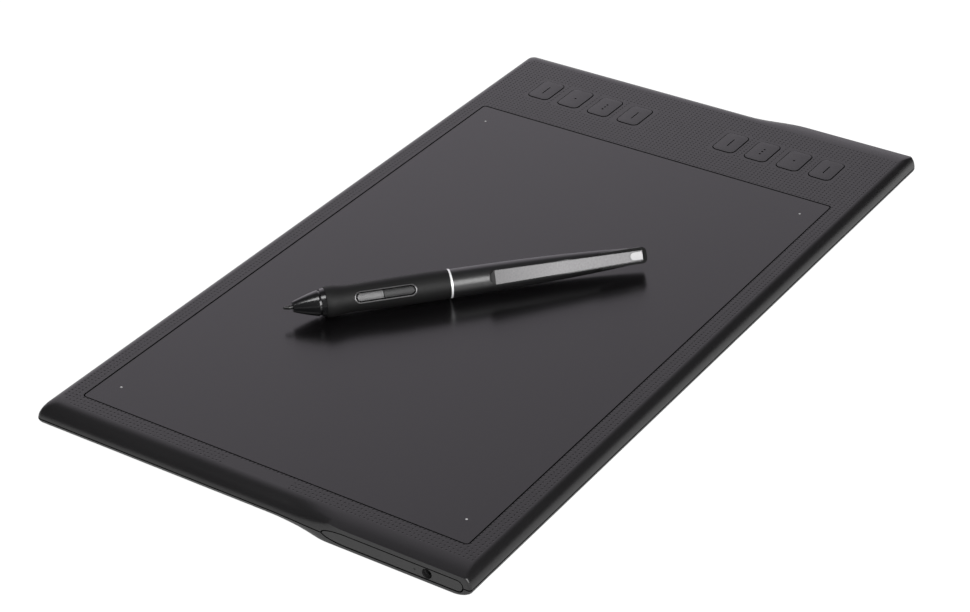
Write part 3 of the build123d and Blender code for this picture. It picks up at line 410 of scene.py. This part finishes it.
def with_painted_edge_shade(node, name, way, width, main, dark, holes=()):
    """A copy of a CAD node with a near-black band of painted shade round its outer flat face, for the
    shade in the gap round it, but not round the given holes.
    """
    piece = merged_copy(node, name)
    piece.data.materials.clear()
    piece.data.materials.append(main)
    piece.data.materials.append(dark)
    shape = bmesh.new()
    shape.from_mesh(piece.data)
    reach = max(vert.co.dot(way) for vert in shape.verts)
    flat = [
        face for face in shape.faces
        if face.normal.dot(way) > FLAT_FACING and face.calc_center_median().dot(way) > reach - FLAT_DEPTH]
    band = bmesh.ops.inset_region(
        shape, faces=flat, thickness=width, use_boundary=True, use_even_offset=True)
    for face in band["faces"]:
        round_hole = any(
            (vert.co - centre - way * (vert.co - centre).dot(way)).length < radius
            for vert in face.verts for centre, radius in holes)
        face.material_index = 0 if round_hole else 1
    shape.to_mesh(piece.data)
    shape.free()
    smooth_by_angle(piece.data)
    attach(piece, "tablet")
    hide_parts(node)
    return piece


def settle(piece):
    """Turns what the modifiers make into the piece's own plain mesh."""
    evaluated = piece.evaluated_get(bpy.context.evaluated_depsgraph_get())
    mesh = bpy.data.meshes.new_from_object(evaluated)
    piece.modifiers.clear()
    piece.data = mesh
    return piece


def points_object(name, places):
    mesh = bpy.data.meshes.new(name)
    mesh.from_pydata(places, [], [])
    made = bpy.data.objects.new(name, mesh)
    bpy.context.scene.collection.objects.link(made)
    return made


def set_input(modifier, label, value):
    """Sets a modifier's input by the identifier of the socket that has the label."""
    for item in modifier.node_group.interface.items_tree:
        if item.item_type == "SOCKET" and item.in_out == "INPUT" and item.name == label:
            modifier[item.identifier] = value
            return
    raise RuntimeError(f"the tree has no input named {label}")


def group_input(tree, label, kind, default=None):
    made = tree.interface.new_socket(name=label, in_out="INPUT", socket_type=kind)
    if default is not None:
        made.default_value = default


# Geometry Nodes tree that sinks one round dimple at each of a set of points

def dimple_tree():
    tree = bpy.data.node_groups.new("Dimples", "GeometryNodeTree")
    group_input(tree, "Geometry", "NodeSocketGeometry")
    group_input(tree, "Places", "NodeSocketObject")
    group_input(tree, "Diameter", "NodeSocketFloat", 1 * MM)
    group_input(tree, "Depth", "NodeSocketFloat", 0.1 * MM)
    group_input(tree, "Material", "NodeSocketMaterial")
    tree.interface.new_socket(name="Geometry", in_out="OUTPUT", socket_type="NodeSocketGeometry")
    source = tree.nodes.new("NodeGroupInput")
    target = tree.nodes.new("NodeGroupOutput")
    link = tree.links.new

    def arithmetic(operation, first, second):
        made = add_node(tree, "ShaderNodeMath", operation=operation)
        for socket, value in zip(made.inputs, (first, second)):
            if isinstance(value, float):
                socket.default_value = value
            else:
                link(value, socket)
        return made.outputs[0]

    places = tree.nodes.new("GeometryNodeObjectInfo")
    link(source.outputs["Places"], places.inputs["Object"])
    pit = tree.nodes.new("GeometryNodeMeshCone")
    pit.inputs["Vertices"].default_value = CUTTER_SIDES
    link(arithmetic("MULTIPLY", source.outputs["Diameter"], CUTTER_LID), pit.inputs["Radius Top"])
    link(arithmetic("MULTIPLY", source.outputs["Diameter"], CUTTER_FLOOR), pit.inputs["Radius Bottom"])
    link(arithmetic("MULTIPLY", source.outputs["Depth"], CUTTER_HEIGHT), pit.inputs["Depth"])
    drop = add_node(tree, "ShaderNodeCombineXYZ")
    link(arithmetic("MULTIPLY", source.outputs["Depth"], -1.0), drop.inputs["Z"])
    lowered = tree.nodes.new("GeometryNodeTransform")
    link(pit.outputs["Mesh"], lowered.inputs["Geometry"])
    link(drop.outputs["Vector"], lowered.inputs["Translation"])
    copies = tree.nodes.new("GeometryNodeInstanceOnPoints")
    link(places.outputs["Geometry"], copies.inputs["Points"])
    link(lowered.outputs["Geometry"], copies.inputs["Instance"])
    real = tree.nodes.new("GeometryNodeRealizeInstances")
    link(copies.outputs["Instances"], real.inputs["Geometry"])
    cut = tree.nodes.new("GeometryNodeMeshBoolean")
    cut.operation = "DIFFERENCE"
    cut.solver = "MANIFOLD"
    link(source.outputs["Geometry"], cut.inputs["Mesh 1"])
    link(real.outputs["Geometry"], cut.inputs["Mesh 2"])
    whole = tree.nodes.new("GeometryNodeRealizeInstances")
    link(cut.outputs["Mesh"], whole.inputs["Geometry"])
    finish = tree.nodes.new("GeometryNodeSetMaterial")
    link(whole.outputs["Geometry"], finish.inputs["Geometry"])
    link(source.outputs["Material"], finish.inputs["Material"])
    link(finish.outputs["Geometry"], target.inputs["Geometry"])
    return tree


def dimple_places(sizes):
    """Grid of places on the deck, clear of the work surface, the keys, the light and a plain patch."""
    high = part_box("top_cover")[1]
    surface_low, surface_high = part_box("work_surface")
    reach = sizes.dimple_diameter / 2 + sizes.dimple_clearance
    light_low, light_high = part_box("status_light")
    light = (light_low + light_high) / 2
    keep_out = [(
        light.x - LIGHT_REACH, light.x + LIGHT_REACH,
        light.y - LIGHT_REACH, light.y + LIGHT_REACH)]
    for name in KEYS:
        key_low, key_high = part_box(name)
        keep_out.append((
            key_low.x + KEY_OVERLAP, key_high.x - KEY_OVERLAP,
            key_low.y + KEY_OVERLAP, key_high.y - KEY_OVERLAP))
    keep_out.append((surface_low.x, surface_high.x, surface_low.y, surface_high.y))
    last_x = high.x - DIMPLE_END_MARGIN
    last_y = high.y - DIMPLE_SIDE_MARGIN
    places = []
    across = int(2 * last_x / sizes.dimple_pitch)
    along = int(2 * last_y / sizes.dimple_pitch)
    for column in range(across + 1):
        x = last_x - column * sizes.dimple_pitch
        for row in range(along + 1):
            y = last_y - row * sizes.dimple_pitch
            if any(
                x0 - reach < x < x1 + reach and y0 - reach < y < y1 + reach
                for x0, x1, y0, y1 in keep_out):
                continue
            past_x = abs(x) - last_x + DIMPLE_CORNER
            past_y = y + last_y - DIMPLE_CORNER
            if past_x > 0 and past_y < 0 and math.hypot(past_x, past_y) > DIMPLE_CORNER:
                continue
            if PLAIN_PATCH_X[0] < x < PLAIN_PATCH_X[1] and PLAIN_PATCH_Y[0] < y < PLAIN_PATCH_Y[1]:
                continue
            places.append((x, y, DECK))
    return places


# Operators that make the pieces

class TabletCase(bpy.types.Operator):
    """Makes the dimpled upper shell and gives the lower shell, inserts, screws and feet their finishes,
    with painted shade along the seam and round the inserts
    """
    bl_idname = "tablet.case"
    bl_label = "Case"

    def execute(self, context):
        sizes = context.scene.tablet_sizes
        tones = context.scene.tablet_colours
        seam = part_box("top_cover")[0].z
        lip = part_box("bottom_cover")[1].z
        plastic = moulding("case_plastic", tones.case, 0.33, 0.35 * MM, 0.006 * MM)
        # Painted shade: a near-black band along the upper shell's lower edge, for the shade in the seam
        paint_seam_shade(plastic, seam, SEAM_SHADE_HALF)
        shell = merged_copy("top_cover", "upper_shell")
        places = points_object("dimple_places", dimple_places(sizes))
        made = shell.modifiers.new("Dimples", "NODES")
        made.node_group = dimple_tree()
        set_input(made, "Places", places)
        set_input(made, "Diameter", sizes.dimple_diameter)
        set_input(made, "Depth", sizes.dimple_depth)
        set_input(made, "Material", plastic)
        settle(shell)
        bpy.data.objects.remove(places)
        smooth_by_angle(shell.data, rim=DECK)
        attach(shell, "tablet")
        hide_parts("top_cover")
        base = moulding("base_plastic", tones.case, 0.40, 0.45 * MM, 0.010 * MM)
        # Painted shade: a near-black band along the lower shell's top edge, for the shade under the seam
        paint_seam_shade(base, lip, LIP_SHADE_HALF)
        wear("bottom_cover", base)
        insert = moulding("insert_plastic", tones.insert, 0.34, 0.3 * MM, 0.004 * MM)
        # Painted shade: a near-black band round each insert's face stands in for the shade in the gap
        # round it
        dark = shade("gap_painted_shade")
        holes = []
        for node, radius in (("side_socket", SOCKET_MOUTH), ("side_light", PIN_MOUTH)):
            low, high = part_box(node)
            holes.append(((low + high) / 2, radius))
        for side, way in (("right", Vector((1, 0, 0))), ("left", Vector((-1, 0, 0)))):
            panel = with_painted_edge_shade(
                f"end_panel_{side}", f"insert_{side}", way, sizes.edge_shade_width, insert, dark, holes)
        rubber = moulding("foot_rubber", tones.rubber, 0.75, 0.25 * MM, 0.03 * MM)
        for number in range(1, 5):
            wear(f"foot_{number}", rubber)
        wear("case_screws", metal("screw_metal", (0.08, 0.08, 0.085), 0.42, 0.2 * MM, 0.004 * MM))
        jack = moulding("jack_plastic", (0.030, 0.030, 0.030), 0.30, 0.3 * MM, 0.003 * MM)
        wear("side_socket", jack)
        smoked = moulding("light_lens", (0.006, 0.006, 0.0065), 0.22, 0.4 * MM, 0.002 * MM, level=0.3)
        wear("side_light", smoked)
        wear("status_light", smoked)
        wear("usb_port", metal("port_metal", (0.55, 0.55, 0.57), 0.30, 0.4 * MM, 0.002 * MM, stretch=6.0))
        switch = moulding("switch_plastic", (0.012, 0.012, 0.012), 0.45, 0.25 * MM, 0.008 * MM)
        wear("switch_housing", switch)
        wear("power_switch", switch)
        return {"FINISHED"}


class TabletWorkSurface(bpy.types.Operator):
    """Finishes the drawing sheet, with a band of painted shade round its edge, and prints the dots at the
    corners of its active area
    """
    bl_idname = "tablet.work_surface"
    bl_label = "Work surface"

    def execute(self, context):
        sizes = context.scene.tablet_sizes
        tones = context.scene.tablet_colours
        film = moulding(
            "sheet_film", tones.sheet, 0.23, 0.22 * MM, 0.0012 * MM, change=0.05, gloss_spread=0.02)
        # Painted shade: a near-black band round the sheet's edge stands in for the shade in the groove
        # round it
        dark = shade("groove_painted_shade")
        sheet = with_painted_edge_shade("work_surface", "sheet", Vector((0, 0, 1)), sizes.edge_shade_width, film, dark)
        low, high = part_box("work_surface")
        shape = bmesh.new()
        for x in (low.x + sizes.corner_dot_inset[0], high.x - sizes.corner_dot_inset[0]):
            for y in (low.y + sizes.corner_dot_inset[1], high.y - sizes.corner_dot_inset[1]):
                place = Matrix.Translation((x, y, high.z + sizes.ink_height / 2))
                bmesh.ops.create_cone(
                    shape, cap_ends=True, segments=DOT_SIDES, radius1=sizes.corner_dot / 2,
                    radius2=sizes.corner_dot / 2 * DOT_TAPER, depth=sizes.ink_height, matrix=place)
        mesh = bpy.data.meshes.new("corner_dots")
        shape.to_mesh(mesh)
        shape.free()
        dots = bpy.data.objects.new("corner_dots", mesh)
        context.scene.collection.objects.link(dots)
        mesh.materials.append(moulding("dot_ink", tones.ink, 0.55, 0.2 * MM, 0.002 * MM, change=0.04))
        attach(dots, "tablet")
        return {"FINISHED"}


def mark_cutter(shape, centre, length, width, depth, sides=12):
    """Adds a rounded bar, or a dot where length equals width, that sinks into a key's top."""
    ring = []
    half = (length - width) / 2
    for step in range(2 * sides):
        angle = math.pi * (step + 0.5) / sides - math.pi / 2
        side = 1 if math.cos(angle) > 0 else -1
        ring.append((side * half + math.cos(angle) * width / 2, math.sin(angle) * width / 2))
    floor = [shape.verts.new((centre.x + x, centre.y + y, centre.z - depth)) for x, y in ring]
    lid = [shape.verts.new((centre.x + x, centre.y + y, centre.z + depth)) for x, y in ring]
    shape.faces.new(list(reversed(floor)))
    shape.faces.new(lid)
    for index in range(len(ring)):
        following = (index + 1) % len(ring)
        shape.faces.new((floor[index], floor[following], lid[following], lid[index]))


class TabletKeys(bpy.types.Operator):
    """Makes the eight press keys with their engraved marks, and painted shade on all but their tops"""
    bl_idname = "tablet.keys"
    bl_label = "Press keys"

    def execute(self, context):
        sizes = context.scene.tablet_sizes
        tones = context.scene.tablet_colours
        plastic = moulding("key_plastic", tones.key, 0.33, 0.3 * MM, 0.004 * MM)
        # Painted shade: the keys' sides, rounded edges and engraved marks wear near-black, for the shade
        # in the gaps and marks
        walls = shade("key_wall_painted_shade", level=0.05)
        for name, mark in zip(KEYS, KEY_MARKS):
            low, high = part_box(name)
            centre = Vector(((low.x + high.x) / 2, (low.y + high.y) / 2, high.z))
            shape = bmesh.new()
            if mark == "line":
                mark_cutter(shape, centre, sizes.mark_length, sizes.mark_width, sizes.mark_depth)
            else:
                offsets = (-1, 0, 1) if mark == "dots" else (0,)
                for offset in offsets:
                    place = centre + Vector((offset * sizes.mark_dot_pitch, 0, 0))
                    mark_cutter(shape, place, sizes.mark_dot, sizes.mark_dot, sizes.mark_depth)
            cutter_mesh = bpy.data.meshes.new(f"{name}_mark")
            shape.to_mesh(cutter_mesh)
            shape.free()
            cutter = bpy.data.objects.new(f"{name}_mark", cutter_mesh)
            context.scene.collection.objects.link(cutter)
            cap = merged_copy(name, f"{name}_cap")
            engrave = cap.modifiers.new("Mark", "BOOLEAN")
            engrave.operation = "DIFFERENCE"
            engrave.solver = "EXACT"
            engrave.object = cutter
            settle(cap)
            bpy.data.objects.remove(cutter)
            cap.data.materials.clear()
            cap.data.materials.append(plastic)
            cap.data.materials.append(walls)
            # Faces below the flat top get the painted shade
            for face in cap.data.polygons:
                on_top = face.normal.z > KEY_TOP_FACING and face.center.z > high.z - KEY_TOP_DEPTH
                face.material_index = 0 if on_top else 1
            smooth_by_angle(cap.data)
            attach(cap, name)
            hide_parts(name)
        return {"FINISHED"}


class TabletStylus(bpy.types.Operator):
    """Gives the stylus its finishes, with painted light on the button rims, the buttons, the clip and the
    frame of the barrel
    """
    bl_idname = "tablet.stylus"
    bl_label = "Stylus"

    def execute(self, context):
        tones = context.scene.tablet_colours
        coil_low, coil_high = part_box("coil")
        ring_low, ring_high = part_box("trim_ring")
        ring_centre = (ring_low + ring_high) / 2
        tailward = (ring_centre - (coil_low + coil_high) / 2).normalized()

        def behind_ring(face):
            return (face.center - ring_centre).dot(tailward)

        # Faces beyond the rim radius wear the painted highlight
        def on_lit_rim(face):
            return ((face.center - ring_centre) - tailward * behind_ring(face)).length > RIM_RADIUS

        # Nose faces turned from the clip's way wear the painted shade
        def on_nose_in_painted_shade(face):
            return face.normal.dot(CLIP_WAY) < CLIP_TOP_FACING and behind_ring(face) < CLIP_NOSE_END

        # Top faces of the frame get the painted shade
        def on_frame_top(face):
            return face.normal.dot(CLIP_WAY) > FRAME_TOP_FACING and behind_ring(face) > FRAME_START

        wear("nib", moulding("nib_plastic", (0.003, 0.003, 0.003), 0.30, 0.2 * MM, 0.003 * MM))
        cone = moulding(
            "cone_plastic", tones.cone, 0.22, 0.6 * MM, 0.0004 * MM, gloss_spread=0.02, level=0.6)
        wear("nib_cone", cone)
        rubber = moulding("grip_rubber", tones.grip, 0.58, 0.25 * MM, 0.008 * MM, level=0.28)
        wear("grip", rubber)
        # Painted shade on the bezel's sunken inner faces and a painted highlight on its outer rim
        shelf = moulding("bezel_shelf_painted_shade", (0.002, 0.002, 0.002), 0.5, 0.5 * MM, 0.001 * MM, level=0.1)
        rim = metal("bezel_rim_painted_highlight", tones.bezel, 0.30, 0.4 * MM, 0.001 * MM, metallic=0.5)
        with_painted_light_faces("button_bezel", "bezel", on_lit_rim, shelf, rim, "stylus")
        # Painted light: the front button is a lighter copy and the rear one a darker copy of one moulding,
        # for how the light falls on them
        light = moulding("button_front_painted_light", tones.button_front, 0.36, 0.3 * MM, 0.004 * MM)
        wear("button_front", light)
        dark = moulding("button_rear_painted_shade", tones.button_rear, 0.36, 0.3 * MM, 0.004 * MM, level=0.22)
        wear("button_rear", dark)
        wear("trim_ring", metal("ring_metal", tones.ring, 0.35, 0.3 * MM, 0.0004 * MM, metallic=0.3))
        barrel = moulding("barrel_plastic", tones.barrel, 0.36, 0.4 * MM, 0.0015 * MM, level=0.75)
        # Painted shade: the frame's top faces wear a darker, duller copy of the barrel's plastic, instead
        # of the side lamp's highlight
        frame_painted_shade = moulding(
            "frame_top_painted_shade", (0.004, 0.004, 0.004), 0.40, 0.4 * MM, 0.0015 * MM, level=0.06)
        for node, name in (("rear_barrel", "barrel"), ("tail_cap", "tail")):
            with_painted_light_faces(node, name, on_frame_top, barrel, frame_painted_shade, "stylus")
        paint = metal("clip_paint", tones.clip, 0.44, 0.9 * MM, 0.010 * MM, metallic=0.6, change=0.45)
        # Painted light: the clip's paint is darker towards the nose and lighter towards the tail, for how
        # the light falls along it
        grade_start = ring_centre.dot(tailward) + CLIP_GRADE_START
        paint_light_ramp(paint, tailward, grade_start, grade_start + CLIP_GRADE_LENGTH, 0.76, 1.20)
        # Painted shade: the clip's nose wears a darker copy of the paint where it turns away from the
        # light
        darker = [tone * 0.25 for tone in tones.clip]
        nose = metal("clip_nose_painted_shade", darker, 0.48, 0.55 * MM, 0.006 * MM, metallic=0.3)
        with_painted_light_faces("clip", "clip_plate", on_nose_in_painted_shade, paint, nose, "stylus_clip")
        wear("clip_inlay", metal("inlay_metal", tones.inlay, 0.35, 0.25 * MM, 0.001 * MM, metallic=0.4))
        return {"FINISHED"}


class TabletInside(bpy.types.Operator):
    """Gives the pieces inside the case and the stylus their finishes"""
    bl_idname = "tablet.inside"
    bl_label = "Inner pieces"

    def execute(self, context):
        board = moulding("board_laminate", (0.012, 0.085, 0.035), 0.30, 1.2 * MM, 0.004 * MM, change=0.2)
        for name in ("main_board", "sensor_board", "pen_board"):
            wear(name, board)
        wear("key_switches", metal("dome_metal", (0.50, 0.50, 0.52), 0.35, 0.3 * MM, 0.004 * MM))
        chip = moulding("chip_plastic", (0.015, 0.015, 0.017), 0.55, 0.2 * MM, 0.008 * MM)
        wear("controller_chips", chip)
        wear("sensor_flex", moulding("flex_film", (0.36, 0.14, 0.02), 0.28, 0.8 * MM, 0.002 * MM))
        wear("battery", metal("cell_pouch", (0.60, 0.60, 0.62), 0.38, 2.0 * MM, 0.03 * MM))
        screen = metal("screen_metal", (0.66, 0.66, 0.67), 0.34, 0.6 * MM, 0.003 * MM, stretch=12.0)
        wear("shield_plate", screen)
        inner = moulding("inner_plastic", (0.05, 0.05, 0.05), 0.50, 0.4 * MM, 0.006 * MM)
        wear("inner_tube", inner)
        wear("pressure_sensor", inner)
        wear("coil", metal("coil_copper", (0.60, 0.24, 0.11), 0.36, 0.3 * MM, 0.02 * MM, stretch=0.3))
        wear("pen_battery", metal("cell_steel", (0.58, 0.58, 0.60), 0.30, 0.5 * MM, 0.002 * MM))
        return {"FINISHED"}


class TabletStage(bpy.types.Operator):
    """Sets the camera, the pale floor, the backdrop and the soft lamps"""
    bl_idname = "tablet.stage"
    bl_label = "Stage"

    def execute(self, context):
        make_camera(context.scene)
        make_floor(context.scene)
        make_world(context.scene)
        make_lamps(context.scene)
        context.scene.view_settings.view_transform = "Standard"
        return {"FINISHED"}


def make_camera(scene):
    turn, lift, roll = (math.radians(value) for value in (CAMERA_AZIMUTH, CAMERA_ELEVATION, CAMERA_ROLL))
    back = Vector((math.sin(turn) * math.cos(lift), -math.cos(turn) * math.cos(lift), math.sin(lift)))
    right = (-back).cross(Vector((0, 0, 1))).normalized()
    upward = right.cross(-back)
    tilted_right = right * math.cos(roll) + upward * math.sin(roll)
    tilted_up = upward * math.cos(roll) - right * math.sin(roll)
    data = bpy.data.cameras.new("camera")
    data.lens = CAMERA_LENS
    data.sensor_width = SENSOR_WIDTH
    data.clip_start = 0.05
    data.clip_end = 50.0
    camera = bpy.data.objects.new("camera", data)
    facing = Matrix((tilted_right, tilted_up, back)).transposed().to_4x4()
    camera.matrix_world = Matrix.Translation(CAMERA_PLACE) @ facing
    scene.collection.objects.link(camera)
    scene.camera = camera


def make_floor(scene):
    """Pale floor that shows almost white to the camera and keeps a soft shadow."""
    mesh = bpy.data.meshes.new("floor")
    low, high = -FLOOR_HALF, FLOOR_HALF
    mesh.from_pydata([(low, low, 0), (high, low, 0), (high, high, 0), (low, high, 0)], [], [(0, 1, 2, 3)])
    floor = bpy.data.objects.new("floor", mesh)
    scene.collection.objects.link(floor)
    material, tree, shader = new_tree("floor_white")
    shader.inputs["Base Color"].default_value = (0.86, 0.86, 0.86, 1)
    shader.inputs["Roughness"].default_value = 0.9
    shader.inputs["Specular IOR Level"].default_value = 0.1
    glow = add_node(tree, "ShaderNodeEmission")
    ray = add_node(tree, "ShaderNodeLightPath")
    strength = add_node(tree, "ShaderNodeMath", operation="MULTIPLY_ADD")
    strength.inputs[1].default_value = GLOW_MIRRORED
    strength.inputs[2].default_value = GLOW_SEEN
    tree.links.new(ray.outputs["Is Glossy Ray"], strength.inputs[0])
    tree.links.new(strength.outputs[0], glow.inputs["Strength"])
    seen = add_node(tree, "ShaderNodeMath", operation="MAXIMUM")
    share = add_node(tree, "ShaderNodeMath", operation="MULTIPLY")
    share.inputs[1].default_value = GLOW_SHARE
    mix = add_node(tree, "ShaderNodeMixShader")
    tree.links.new(ray.outputs["Is Camera Ray"], seen.inputs[0])
    tree.links.new(ray.outputs["Is Glossy Ray"], seen.inputs[1])
    tree.links.new(seen.outputs[0], share.inputs[0])
    tree.links.new(share.outputs[0], mix.inputs[0])
    tree.links.new(shader.outputs["BSDF"], mix.inputs[1])
    tree.links.new(glow.outputs["Emission"], mix.inputs[2])
    tree.links.new(mix.outputs["Shader"], tree.nodes["Material Output"].inputs["Surface"])
    mesh.materials.append(material)


def make_world(scene):
    """White to the camera, a bright backdrop in a dim room to reflections, and grey to the rest."""
    world = bpy.data.worlds.new("studio")
    world.use_nodes = True
    tree = world.node_tree
    tree.nodes.clear()
    link = tree.links.new
    place = add_node(tree, "ShaderNodeTexCoord")
    facing = add_node(tree, "ShaderNodeVectorMath", operation="DOT_PRODUCT")
    facing.inputs[1].default_value = Vector(BACKDROP_WAY).normalized()
    link(place.outputs["Generated"], facing.inputs[0])
    fall = add_node(tree, "ShaderNodeMapRange", interpolation_type="SMOOTHSTEP")
    fall.inputs["From Min"].default_value = 0.67
    fall.inputs["From Max"].default_value = 1.00
    fall.inputs["To Min"].default_value = 0.06
    fall.inputs["To Max"].default_value = 1.0
    link(facing.outputs["Value"], fall.inputs["Value"])
    sideways = add_node(tree, "ShaderNodeVectorMath", operation="DOT_PRODUCT")
    sideways.inputs[1].default_value = BRIGHT_SIDE
    link(place.outputs["Generated"], sideways.inputs[0])
    tilt = add_node(tree, "ShaderNodeMapRange")
    tilt.inputs["From Min"].default_value = -1.0
    tilt.inputs["To Min"].default_value = 0.25
    tilt.inputs["To Max"].default_value = 1.75
    link(sideways.outputs["Value"], tilt.inputs["Value"])
    level = add_node(tree, "ShaderNodeMath", operation="MULTIPLY")
    link(fall.outputs["Result"], level.inputs[0])
    link(tilt.outputs["Result"], level.inputs[1])
    ray = add_node(tree, "ShaderNodeLightPath")
    soft = add_node(tree, "ShaderNodeBackground")
    soft.inputs["Color"].default_value = (0.38, 0.38, 0.38, 1)
    mirror = add_node(tree, "ShaderNodeBackground")
    mirror.inputs["Color"].default_value = (1.0, 0.942, 1.035, 1)
    link(level.outputs[0], mirror.inputs["Strength"])
    white = add_node(tree, "ShaderNodeBackground")
    white.inputs["Color"].default_value = (1, 1, 1, 1)
    first = add_node(tree, "ShaderNodeMixShader")
    link(ray.outputs["Is Glossy Ray"], first.inputs[0])
    link(soft.outputs[0], first.inputs[1])
    link(mirror.outputs[0], first.inputs[2])
    second = add_node(tree, "ShaderNodeMixShader")
    link(ray.outputs["Is Camera Ray"], second.inputs[0])
    link(first.outputs[0], second.inputs[1])
    link(white.outputs[0], second.inputs[2])
    target = add_node(tree, "ShaderNodeOutputWorld")
    link(second.outputs[0], target.inputs["Surface"])
    scene.world = world


def make_lamps(scene):
    """Two soft boxes that the stylus mirrors, one overhead and one to the right of the camera."""
    for name, way, reach, size, power in LAMPS:
        data = bpy.data.lights.new(name, "AREA")
        data.shape = "SQUARE"
        data.size = size
        data.energy = power
        lamp = bpy.data.objects.new(name, data)
        lamp.location = LAMP_TARGET + Vector(way).normalized() * reach
        lamp.rotation_mode = "QUATERNION"
        lamp.rotation_quaternion = (-Vector(way)).to_track_quat("-Z", "Y")
        scene.collection.objects.link(lamp)


class TabletPanel(bpy.types.Panel):
    """Lists the makers of the tablet's pieces"""
    bl_idname = "VIEW3D_PT_tablet"
    bl_label = "Graphics tablet"
    bl_space_type = "VIEW_3D"
    bl_region_type = "UI"
    bl_category = "Tablet"

    def draw(self, context):
        for operator in OPERATORS:
            self.layout.operator(operator.bl_idname)
        for group in (context.scene.tablet_sizes, context.scene.tablet_colours):
            for name in group.__annotations__:
                self.layout.prop(group, name)


OPERATORS = (TabletStage, TabletCase, TabletWorkSurface, TabletKeys, TabletStylus, TabletInside)
CLASSES = (TabletSizes, TabletColours, *OPERATORS, TabletPanel)


def register():
    for item in CLASSES:
        bpy.utils.register_class(item)
    bpy.types.Scene.tablet_sizes = bpy.props.PointerProperty(type=TabletSizes)
    bpy.types.Scene.tablet_colours = bpy.props.PointerProperty(type=TabletColours)


def unregister():
    del bpy.types.Scene.tablet_colours
    del bpy.types.Scene.tablet_sizes
    for item in reversed(CLASSES):
        bpy.utils.unregister_class(item)


def main():
    register()
    bpy.ops.tablet.stage()
    bpy.ops.tablet.case()
    bpy.ops.tablet.work_surface()
    bpy.ops.tablet.keys()
    bpy.ops.tablet.stylus()
    bpy.ops.tablet.inside()
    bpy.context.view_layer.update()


if __name__ == "__main__":
    main()
